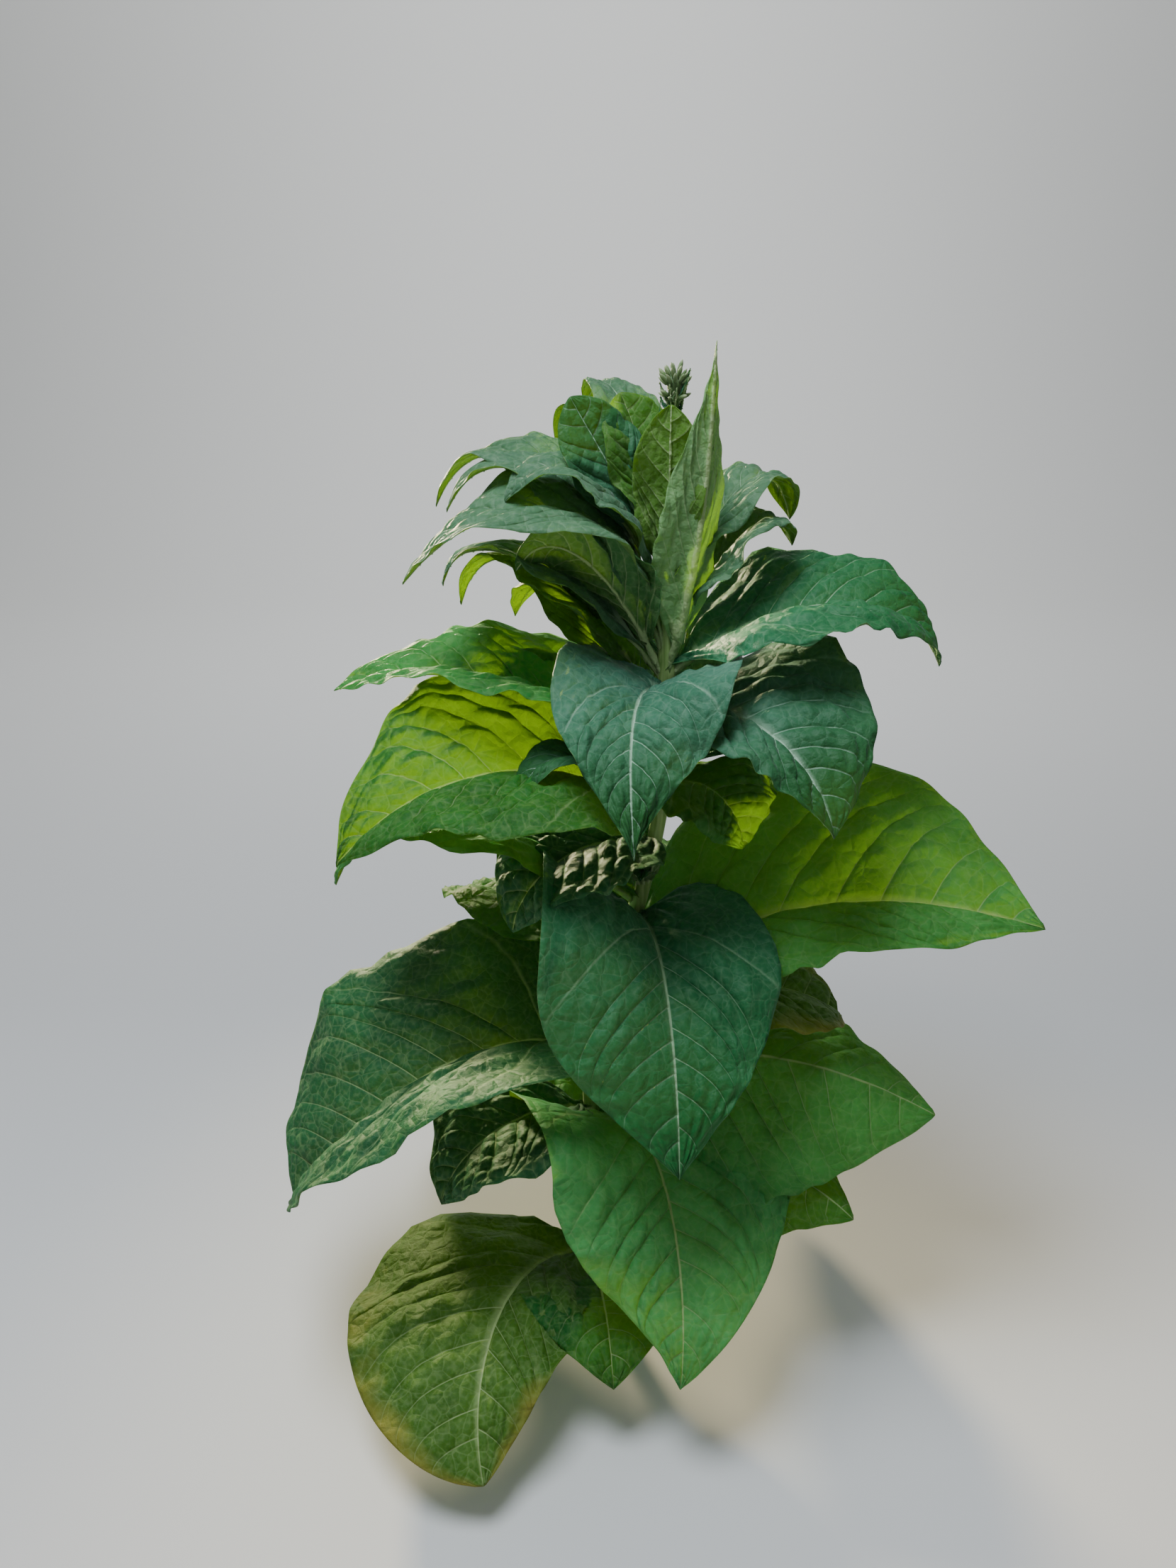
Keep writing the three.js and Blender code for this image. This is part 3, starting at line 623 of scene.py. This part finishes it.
# What the finishes share: the colour that light takes on its way through a blade, the pale veins, and a
# dull and downy underside, whose mottle is its own colour and a little more. Through is a share of light.
GLOW = 0xB6D81C
VEIN = 0xB9CF8E
UNDER_VEIN = 0xC6DBA0
UNDER_MOTTLE = 0x0C0C06
UNDER_ROUGHNESS = 0.62
UNDER_DOWN = 0.05
UNDER_RELIEF = 0.5
UNDER_THROUGH = 0.3
BUD_THROUGH = 0.15


def living_leaf(
    name, blade, light, vein, edge=None, greener=None, rough=0.5, bloom=0.0, through=0.26, relief=0.35,
):
    """Living tobacco leaf: a waxy, hairy skin over soft tissue that lets some light through.

    The blade mottles towards a lighter green, its net of fine veins is a little paler,
    and the midrib and side veins are pale. Bloom is the whitish down of the young blades.
    The tip may turn to a plainer green, as the bluer blade nearer the foot is partly painted sky sheen, and
    the edge near the tip may be yellowed.
    """
    material, tree = empty_finish(name)
    place = add(tree, "ShaderNodeTexCoord").outputs["Object"]
    line = add(tree, "ShaderNodeAttribute", attribute_name="vein").outputs["Fac"]
    toward_tip = add(tree, "ShaderNodeAttribute", attribute_name="toward_tip").outputs["Fac"]
    patches = add(tree, "ShaderNodeTexNoise", {
        "Vector": place, "Scale": repeats(MOTTLE), "Detail": 3.0, "Roughness": 0.55,
    }).outputs
    net = add(tree, "ShaderNodeTexVoronoi", {
        "Vector": place, "Scale": repeats(FINE_NET),
    }).outputs["Distance"]
    grain = add(tree, "ShaderNodeTexNoise", {
        "Vector": place, "Scale": repeats(SKIN_GRAIN), "Detail": 2.0,
    })
    bent = add(tree, "ShaderNodeVectorMath", {
        0: patches["Color"], 1: [VEIN_WANDER * MM] * 3, 2: place,
    }, operation="MULTIPLY_ADD")
    cushions = add(tree, "ShaderNodeTexVoronoi", {
        "Vector": bent.outputs[0], "Scale": repeats(SMALL_VEIN_GAP),
    }, feature="DISTANCE_TO_EDGE").outputs["Distance"]
    layers = [
        (patches[0], 0.32, 0.74, 0.0, 1.0, light),
        (net, 0.45, 0.8, 0.0, 0.12, vein),
        (cushions, 0.0, 0.05, 0.15, 0.0, vein),
    ]
    # Painted sky sheen: the bluer blade gives way to a plainer green towards the tip.
    if greener:
        layers.append((toward_tip, 0.25, 0.85, 0.0, 0.9, greener))
    if edge:
        margin = add(tree, "ShaderNodeAttribute", attribute_name="margin").outputs["Fac"]
        worn = add(tree, "ShaderNodeMath", {
            0: margin, 1: toward_tip, 2: patches[0],
        }, operation="MULTIPLY_ADD")
        layers.append((worn.outputs[0], 1.0, 1.5, 0.0, 1.0, edge))
    layers.append((line, 0.06, 0.85, 0.0, 0.85, vein))
    colour = painted(tree, linear(blade), layers)
    swells = add(tree, "ShaderNodeMapRange", {0: cushions, 1: 0.0, 2: 0.3}).outputs[0]
    broad = add(tree, "ShaderNodeBump", {
        "Height": swells, "Strength": 0.7, "Distance": CUSHION_HEIGHT * MM,
    })
    height = add(tree, "ShaderNodeMath", {0: grain.outputs[0], 1: net}, operation="SUBTRACT").outputs[0]
    bump = add(tree, "ShaderNodeBump", {
        "Height": height, "Strength": relief, "Distance": SKIN_DEPTH * MM, "Normal": broad.outputs[0],
    }).outputs[0]
    skin = add(tree, "ShaderNodeBsdfPrincipled", {
        "Base Color": colour, "Roughness": rough, "IOR": 1.42, "Specular IOR Level": 0.3, "Normal": bump,
        "Sheen Weight": bloom, "Sheen Roughness": 0.45, "Sheen Tint": linear(0xD8E6E4),
    })
    lit = painted(tree, linear(GLOW), [(line, 0.08, 0.95, 0.0, 0.7, vein)])
    inside = add(tree, "ShaderNodeBsdfTranslucent", {"Color": lit, "Normal": bump})
    both = add(tree, "ShaderNodeMixShader", {0: through, 1: skin.outputs[0], 2: inside.outputs[0]})
    add(tree, "ShaderNodeOutputMaterial", {"Surface": both.outputs[0]})
    return material


def leaf_finishes():
    """Upper and under finish of each tint. Low leaves ripen to yellow, high ones have a blue bloom that is
    partly painted sky sheen.
    """
    def pair(name, blade, light, under, vein=VEIN, **more):
        upper = living_leaf(f"leaf_skin_{name}", blade, light, vein, **more)
        lower = living_leaf(
            f"leaf_underside_{name}", under, under + UNDER_MOTTLE, UNDER_VEIN, rough=UNDER_ROUGHNESS,
            bloom=more.get("bloom", 0) + UNDER_DOWN, relief=UNDER_RELIEF,
            through=more.get("through", UNDER_THROUGH),
        )
        return upper, lower

    return {
        "ripening": pair("ripening", 0x355F1E, 0x4E782A, 0x66843A, edge=0x8E8236, rough=0.6),
        "grass": pair("grass", 0x2A7E3C, 0x42A252, 0x5A9446, rough=0.58, through=0.44),
        "fresh": pair("fresh", 0x3A9250, 0x56B466, 0x5A9446, rough=0.58, through=0.38),
        "deep": pair("deep", 0x145826, 0x247836, 0x468642, rough=0.6, through=0.48),
        # Painted shade: a dark green that lets little light through, for leaves that lie in shadow.
        "painted_shade": pair("painted_shade", 0x184E2E, 0x2A6E40, 0x467C46, rough=0.6, through=0.2),
        # The blue and bloom tints are bluer near the foot, partly painted sky sheen, and a plainer green at
        # the tip.
        "blue": pair(
            "blue", 0x1E643E, 0x327E52, 0x487E48, 0xA4C69C, greener=0x1A642C,
            rough=0.56, bloom=0.06, through=0.14,
        ),
        "bloom": pair(
            "bloom", 0x386E56, 0x528870, 0x568246, 0xA8CCAC, greener=0x1A581C,
            rough=0.56, bloom=0.09, through=0.18,
        ),
        "silver": pair(
            "silver", 0x406A4E, 0x5C8664, 0x5C8A44, 0xACCAA4, rough=0.56, bloom=0.14, through=0.34,
        ),
        "crisp": pair("crisp", 0x56925A, 0x7CB274, 0x88BA7C, rough=0.52, bloom=0.16, through=0.45),
        "young": pair("young", 0x38682A, 0x508434, 0x608E3A, rough=0.52, bloom=0.1, through=0.5),
    }


# Which leaves have which tint. All others are silver, as most young leaves are.
LEAVES_OF_TINT = {
    "ripening": ("leaf_lowest_front_left", "leaf_low_right_behind", "leaf_back_1"),
    "grass": (
        "leaf_low_right", "leaf_middle_right", "leaf_upper_left", "leaf_middle_left_under",
        "leaf_back_2", "leaf_back_3",
    ),
    "fresh": ("leaf_low_front",),
    "deep": (
        "leaf_middle_left", "leaf_middle_hanging_right", "leaf_lowest_front", "leaf_low_right_under",
        "leaf_back_4", "leaf_back_5",
    ),
    # Leaves that lie in shadow, dressed in painted shade.
    "painted_shade": ("leaf_low_left", "leaf_middle_hanging_left", "leaf_low_left_under", "young_leaf_left_facing"),
    "blue": ("leaf_middle_front", "leaf_upper_right", "leaf_back_6", "leaf_back_7"),
    "bloom": (
        "leaf_upper_front", "leaf_upper_front_right", "leaf_back_8", "leaf_small_left",
        "young_leaf_upright_left",
    ),
    "crisp": ("young_leaf_tall_right",),
    "young": (
        "young_leaf_upright_middle", "young_leaf_upright_right", "young_leaf_left_lower",
        "young_leaf_left_lowest",
    ),
}
TINT_OF = {name: tint for tint, names in LEAVES_OF_TINT.items() for name in names}


def joined(parts):
    """One mesh's vertices, faces and values from several blades"""
    vertices, faces, values, top = [], [], {}, []
    start = 0
    for points, quads, value, first_under in parts:
        vertices.append(points)
        faces.append(quads + start)
        top.append(np.arange(len(quads)) < first_under)
        for key, numbers in value.items():
            values.setdefault(key, []).append(numbers)
        start += len(points)
    vertices, faces, top = np.concatenate(vertices), np.concatenate(faces), np.concatenate(top)
    order = np.argsort(~top, kind="stable")
    return vertices, faces[order], {k: np.concatenate(n) for k, n in values.items()}, int(top.sum())


def blade_piece(name, node, leaves, skins, chance):
    """One piece made of one blade or of several"""
    parts = [closed_blade(*blade_grid(leaf, chance)) for leaf in leaves]
    vertices, faces, values, first_under = joined(parts)
    dress(mesh_piece(name, vertices, faces, values, skins, first_under), node)


def leaf_piece(leaf, finishes, number):
    """One large or young leaf in its own tint"""
    tint = TINT_OF.get(leaf["name"], "silver")
    name = leaf["name"].replace("leaf", "blade", 1)
    chance = np.random.default_rng(SEED + number)
    blade_piece(name, leaf["name"], [leaf], finishes[tint], chance)


def shoot_piece(shoot, finishes, number):
    """A tuft of small leaves: the middle one hangs out further than the others."""
    size = shoot["size"]
    leaves = [
        row(SHOOT_LEAF, shoot["name"], shoot["height"] + SHOOT_STEP * i, shoot["turn"] + leaf["turn"],
            size * leaf["reach"], shoot["height"] + size * leaf["tip"], SHOOT_RISE, leaf["fall"],
            size * SHOOT_WIDTH_SHARE)
        for i, leaf in enumerate(SHOOT_LEAVES)
    ]
    name = shoot["name"].replace("side_shoot", "shoot_tuft")
    chance = np.random.default_rng(SHOOT_SEED + number)
    blade_piece(name, shoot["name"], leaves, finishes["bloom"], chance)


def tube(rings):
    """Vertices and faces of a closed tube from rings of an even number of points, each anticlockwise."""
    rings = np.asarray(rings)
    count, sides = rings.shape[:2]
    number = np.arange(count * sides).reshape(count, sides)
    following = np.roll(number, -1, axis=1)
    a, b = number[:-1].ravel(), following[:-1].ravel()
    c, d = following[1:].ravel(), number[1:].ravel()
    faces = [np.stack([a, b, c, d], axis=1)]
    vertices = rings.reshape(-1, 3)
    ends = ((number[0], following[0]), (number[-1], following[-1]))
    for end, (ring, following_ring) in enumerate(ends):
        centre = np.full(sides // 2, len(vertices) + end)
        fan = np.stack([ring[::2], ring[1::2], following_ring[1::2], centre], axis=1)
        faces.append(fan if end else fan[:, ::-1])
    return np.concatenate([vertices, rings[[0, -1]].mean(1)]), np.concatenate(faces)


def green_stem():
    """Living tobacco stem: pale green, finely ribbed and downy, a little browner at the foot."""
    material, tree = empty_finish("green_stem")
    place = add(tree, "ShaderNodeTexCoord").outputs["Object"]
    drawn = add(tree, "ShaderNodeMapping", {"Vector": place, "Scale": (1.0, 1.0, 0.08)}).outputs[0]
    streaks = add(tree, "ShaderNodeTexNoise", {
        "Vector": drawn, "Scale": repeats(STEM_STREAK), "Detail": 3.0,
    })
    patches = add(tree, "ShaderNodeTexNoise", {
        "Vector": place, "Scale": repeats(STEM_PATCH), "Detail": 2.0,
    })
    height = add(tree, "ShaderNodeSeparateXYZ", {0: place}).outputs[2]
    colour = painted(tree, linear(0x7FA356), [
        (streaks.outputs[0], 0.35, 0.7, 0.0, 1.0, 0xB4CC86),
        (patches.outputs[0], 0.45, 0.75, 0.0, 0.6, 0x93B36A),
        (height, 0.0, 0.16, 0.75, 0.0, 0x8C8A58),
    ])
    bump = add(tree, "ShaderNodeBump", {
        "Height": streaks.outputs[0], "Strength": 0.4, "Distance": STREAK_DEPTH * MM,
    })
    skin = add(tree, "ShaderNodeBsdfPrincipled", {
        "Base Color": colour, "Roughness": 0.5, "IOR": 1.42, "Normal": bump.outputs[0],
        "Sheen Weight": 0.4, "Sheen Roughness": 0.4, "Sheen Tint": linear(0xE4EED0),
    })
    add(tree, "ShaderNodeOutputMaterial", {"Surface": skin.outputs[0]})
    return material


def bell(distance, width):
    """1 at no distance, and falling away on both sides"""
    return np.exp(-((distance / width) ** 2))


def stem_piece(feet):
    """The stem with its ribs, and a swollen joint with a running ridge below each leaf's foot."""
    z = np.linspace(0, STEM_HEIGHT, STEM_HEIGHT // STEM_STEP + 1)
    up = z[:, None]
    turn = np.arange(STEM_SIDES) * 360 / STEM_SIDES
    radius = stem_radius(up) * np.ones(STEM_SIDES)
    ribs = np.sin(np.radians(turn * STEM_RIBS + STEM_RIB_SWAY * np.sin(up / STEM_RIB_WAVE)))
    radius += STEM_RIB_HEIGHT * ribs * smooth(up / STEM_RIB_START)
    for height, heading in feet:
        away = (turn - heading + 180) % 360 - 180
        joint = bell(up - height, JOINT_HEIGHT)
        below = bell(up - height, LEAF_RIDGE_LENGTH) * (up < height + LEAF_RIDGE_TOP)
        radius += (
            JOINT_SWELL * joint + JOINT_PAD * joint * bell(away, JOINT_PAD_ANGLE)
            + LEAF_RIDGE * below * bell(away, LEAF_RIDGE_ANGLE)
        )
    radius = np.minimum(radius, stem_radius(up) + MOST_SWELL)
    rings = stem_axis(z)[:, None] + direction(turn, 0)[None] * radius[..., None]
    vertices, faces = tube(rings)
    dress(mesh_piece("stem_skin", vertices, faces, finishes=[green_stem()]), "stem")


def downy_bud():
    """Closed tobacco flower buds: a grey-green calyx, ribbed and downy with short sticky hairs.

    It is darker at the foot and paler at the point.
    """
    material, tree = empty_finish("downy_bud")
    place = add(tree, "ShaderNodeTexCoord").outputs["Object"]
    along = add(tree, "ShaderNodeAttribute", attribute_name="toward_tip").outputs["Fac"]
    patches = add(tree, "ShaderNodeTexNoise", {
        "Vector": place, "Scale": repeats(BUD_PATCH), "Detail": 2.0,
    })
    hairs = add(tree, "ShaderNodeTexNoise", {
        "Vector": place, "Scale": repeats(HAIR_GAP), "Detail": 1.0,
    })
    colour = painted(tree, linear(0x5E7F48), [
        (patches.outputs[0], 0.36, 0.66, 0.0, 1.0, 0x93A878),
        (along, 0.7, 1.0, 0.0, 0.7, 0xC0CB9A),
        (along, 0.0, 0.3, 0.7, 0.0, 0x3F6235),
    ])
    bump = add(tree, "ShaderNodeBump", {
        "Height": hairs.outputs[0], "Strength": 0.5, "Distance": HAIR_DEPTH * MM,
    })
    skin = add(tree, "ShaderNodeBsdfPrincipled", {
        "Base Color": colour, "Roughness": 0.6, "IOR": 1.42, "Normal": bump.outputs[0],
        "Sheen Weight": 0.5, "Sheen Roughness": 0.4, "Sheen Tint": linear(0xE2E8D4),
    })
    inside = add(tree, "ShaderNodeBsdfTranslucent", {"Color": linear(0x9DB04C), "Normal": bump.outputs[0]})
    both = add(tree, "ShaderNodeMixShader", {0: BUD_THROUGH, 1: skin.outputs[0], 2: inside.outputs[0]})
    add(tree, "ShaderNodeOutputMaterial", {"Surface": both.outputs[0]})
    return material


def turned(profile, sides, ribs=0, depth=0.0):
    """Rings of points round the Z axis from pairs of height and radius, with ribs that swell it"""
    turn = np.arange(sides) * 360 / sides
    shape = 1 + depth * np.cos(np.radians(ribs * turn))
    heights, radii = np.array(profile, float).T
    out = direction(turn, 0)[None] * (radii[:, None] * shape)[..., None]
    return out + np.array([0, 0, 1]) * heights[:, None, None]


def bud_tree():
    """Sets buds on the dome of the head, each turned out and up, with its own size"""
    tree = bpy.data.node_groups.new("buds_on_dome", "GeometryNodeTree")
    sockets = (
        ("Dome", "NodeSocketGeometry"), ("Bud", "NodeSocketObject"), ("Spacing", "NodeSocketFloat"),
        ("Lowest slope", "NodeSocketFloat"), ("Lift", "NodeSocketFloat"), ("Smallest", "NodeSocketFloat"),
        ("Seed", "NodeSocketInt"), ("Finish", "NodeSocketMaterial"),
    )
    for name, kind in sockets:
        tree.interface.new_socket(name, in_out="INPUT", socket_type=kind)
    tree.interface.new_socket("Head", in_out="OUTPUT", socket_type="NodeSocketGeometry")
    given = add(tree, "NodeGroupInput").outputs
    normal = add(tree, "GeometryNodeInputNormal").outputs["Normal"]
    of_face = add(tree, "GeometryNodeFieldOnDomain", {0: normal}, data_type="FLOAT_VECTOR", domain="FACE")
    upward = add(tree, "ShaderNodeSeparateXYZ", {0: of_face.outputs[0]}).outputs["Z"]
    upper = add(tree, "FunctionNodeCompare", {
        0: upward, 1: given["Lowest slope"],
    }, operation="GREATER_THAN")
    spots = add(tree, "GeometryNodeDistributePointsOnFaces", distribute_method="POISSON")
    tree.links.new(given["Dome"], spots.inputs["Mesh"])
    tree.links.new(upper.outputs[0], spots.inputs["Selection"])
    tree.links.new(given["Spacing"], spots.inputs["Distance Min"])
    tree.links.new(given["Seed"], spots.inputs["Seed"])
    spots.inputs["Density Max"].default_value = BUD_TRIES
    lift = add(tree, "ShaderNodeCombineXYZ", {2: given["Lift"]}).outputs[0]
    aim = add(tree, "ShaderNodeVectorMath", {
        0: spots.outputs["Normal"], 1: lift,
    }, operation="ADD").outputs[0]
    facing = add(tree, "FunctionNodeAlignRotationToVector", {"Vector": aim}, axis="Z").outputs[0]
    size = add(tree, "FunctionNodeRandomValue", {
        2: given["Smallest"], 3: 1.0, 8: given["Seed"],
    }).outputs[1]
    bud = add(tree, "GeometryNodeObjectInfo", {"Object": given["Bud"]}).outputs["Geometry"]
    buds = add(tree, "GeometryNodeInstanceOnPoints", {
        "Points": spots.outputs["Points"], "Instance": bud, "Rotation": facing, "Scale": size,
    }).outputs[0]
    both = add(tree, "GeometryNodeJoinGeometry")
    tree.links.new(given["Dome"], both.inputs[0])
    tree.links.new(buds, both.inputs[0])
    real = add(tree, "GeometryNodeRealizeInstances", {"Geometry": both.outputs[0]}).outputs[0]
    done = add(tree, "GeometryNodeSetMaterial", {
        "Geometry": real, "Material": given["Finish"],
    }).outputs[0]
    add(tree, "NodeGroupOutput", {0: done})
    return tree


def bud_cluster(finish):
    """The head of buds on top of the stem"""
    foot = stem_axis(STEM_HEIGHT) - (0, 0, HEAD_SINK)
    vertices, faces = tube(turned(DOME_PROFILE, DOME_SIDES) + foot)
    head = mesh_piece("bud_dome", vertices, faces, {"toward_tip": np.zeros(len(vertices))})
    profile = np.array(BUD_PROFILE) * (BUD_LENGTH, BUD_RADIUS)
    vertices, faces = tube(turned(profile, BUD_SIDES, BUD_RIBS, BUD_RIB_DEPTH))
    bud = mesh_piece("bud", vertices, faces, {"toward_tip": vertices[:, 2] / BUD_LENGTH})
    tree = bud_tree()
    nodes = head.modifiers.new("buds", "NODES")
    nodes.node_group = tree
    values = {
        "Bud": bud, "Spacing": BUD_SPACING * MM, "Lowest slope": LOWEST_SLOPE, "Lift": BUD_LIFT,
        "Smallest": SMALLEST_BUD, "Seed": SEED, "Finish": finish,
    }
    for item in tree.interface.items_tree:
        if item.in_out == "INPUT" and item.name in values:
            nodes[item.identifier] = values[item.name]
    bpy.context.view_layer.update()
    mesh = bpy.data.meshes.new_from_object(head.evaluated_get(bpy.context.evaluated_depsgraph_get()))
    mesh.polygons.foreach_set("use_smooth", np.ones(len(mesh.polygons), bool))
    piece = bpy.data.objects.new("bud_cluster", mesh)
    bpy.context.scene.collection.objects.link(piece)
    for spare in (head, bud):
        bpy.data.objects.remove(spare)
    dress(piece, "bud_head")


def bract_piece(finishes, number):
    """The narrow leaflets that stand round the head of buds"""
    chance = np.random.default_rng(SEED + number)
    bracts = []
    for k in range(BRACT_COUNT):
        height = STEM_HEIGHT - BRACT_DROP * (1 - k / BRACT_COUNT)
        reach = chance.uniform(*BRACT_REACH)
        tip = height + chance.uniform(*BRACT_CLIMB)
        width = chance.uniform(*BRACT_WIDTH)
        turn = GOLDEN_ANGLE * k
        bracts.append(row(BRACT, "bud_head", height, turn, reach, tip, BRACT_RISE, BRACT_FALL, width))
    blade_piece("bud_bracts", "bud_head", bracts, finishes["bloom"], chance)


ALL_LEAVES = [*FRONT_LEAVES, *SIDE_LEAVES, *YOUNG_LEAVES, *BACK_LEAVES]
FINISHES = leaf_finishes()
stem_piece([(leaf["height"], leaf["turn"]) for leaf in ALL_LEAVES])
for number, leaf in enumerate(ALL_LEAVES):
    leaf_piece(leaf, FINISHES, number)
for number, shoot in enumerate(SIDE_SHOOTS):
    shoot_piece(shoot, FINISHES, number)
bud_cluster(downy_bud())
bract_piece(FINISHES, len(ALL_LEAVES) + len(SIDE_SHOOTS))

# Camera: a standing view from the front that looks down on the plant, in pixels, metres and degrees
PHOTO_HEIGHT = 2212
FOCAL_PIXELS = 1680
SENSOR = 36
NEAREST_SEEN = 0.05
CAMERA_PLACE = (-0.006, -1.450, 1.500)
LOOKING_DOWN = 22.7
ROOM_LIGHT = 0.34

camera = bpy.data.objects.new("camera", bpy.data.cameras.new("camera"))
camera.data.sensor_width = SENSOR
camera.data.lens = SENSOR * FOCAL_PIXELS / PHOTO_HEIGHT
camera.data.clip_start = NEAREST_SEEN
camera.location = CAMERA_PLACE
camera.rotation_euler = (math.radians(90 - LOOKING_DOWN), 0, 0)
bpy.context.scene.collection.objects.link(camera)
bpy.context.scene.camera = camera


def plain_floor():
    """A pale floor that sweeps up behind the plant in one soft curve. Sizes are in metres."""
    material = bpy.data.materials.new("pale_floor")
    material.use_nodes = True
    skin = material.node_tree.nodes["Principled BSDF"]
    skin.inputs["Base Color"].default_value = linear(0xE4E3DF)
    skin.inputs["Roughness"].default_value = 0.9
    half, near, far, bend, top = 12, -10, 4.5, 3, 9
    turns = np.linspace(0, math.pi / 2, 25)
    sweep = [(far + bend * math.sin(a), bend - bend * math.cos(a)) for a in turns]
    line = [(near, 0), *sweep, (far + bend, top)]
    points = [(x, y, z) for y, z in line for x in (-half, half)]
    faces = [(2 * k, 2 * k + 1, 2 * k + 3, 2 * k + 2) for k in range(len(line) - 1)]
    mesh = bpy.data.meshes.new("floor")
    mesh.from_pydata(points, [], faces)
    mesh.polygons.foreach_set("use_smooth", [True] * len(faces))
    mesh.materials.append(material)
    floor = bpy.data.objects.new("floor", mesh)
    bpy.context.scene.collection.objects.link(floor)


def soft_light(name, place, aim, size, watts, colour, spread=180):
    """A round lamp at a place, turned towards its aim. The spread is in degrees."""
    light = bpy.data.lights.new(name, "AREA")
    light.shape = "DISK"
    light.size = size
    light.energy = watts
    light.spread = math.radians(spread)
    light.color = linear(colour)[:3]
    lamp = bpy.data.objects.new(name, light)
    lamp.location = place
    away = np.array(place) - np.array(aim)
    flat = math.hypot(away[0], away[1])
    lamp.rotation_euler = (math.atan2(flat, away[2]), 0, math.atan2(away[1], away[0]) + math.pi / 2)
    bpy.context.scene.collection.objects.link(lamp)


plain_floor()
world = bpy.data.worlds.new("pale_room")
bpy.context.scene.world = world
world.use_nodes = True
world.node_tree.nodes["Background"].inputs[0].default_value = linear(0xE6EBF0)
world.node_tree.nodes["Background"].inputs[1].default_value = ROOM_LIGHT
soft_light("sky_light", (-0.6, -0.6, 3.3), aim=(0, 0, 0.8), size=1.3, watts=88, colour=0xEAF2FF)
soft_light("back_light", (-1.5, 2.8, 1.6), aim=(0, 0, 1.1), size=0.5, watts=31, colour=0xFFEBBC, spread=50)
soft_light("backdrop_light", (0.0, 2.4, 4.4), aim=(0, 7.5, 2.6), size=2.5, watts=240, colour=0xF2F5F8)
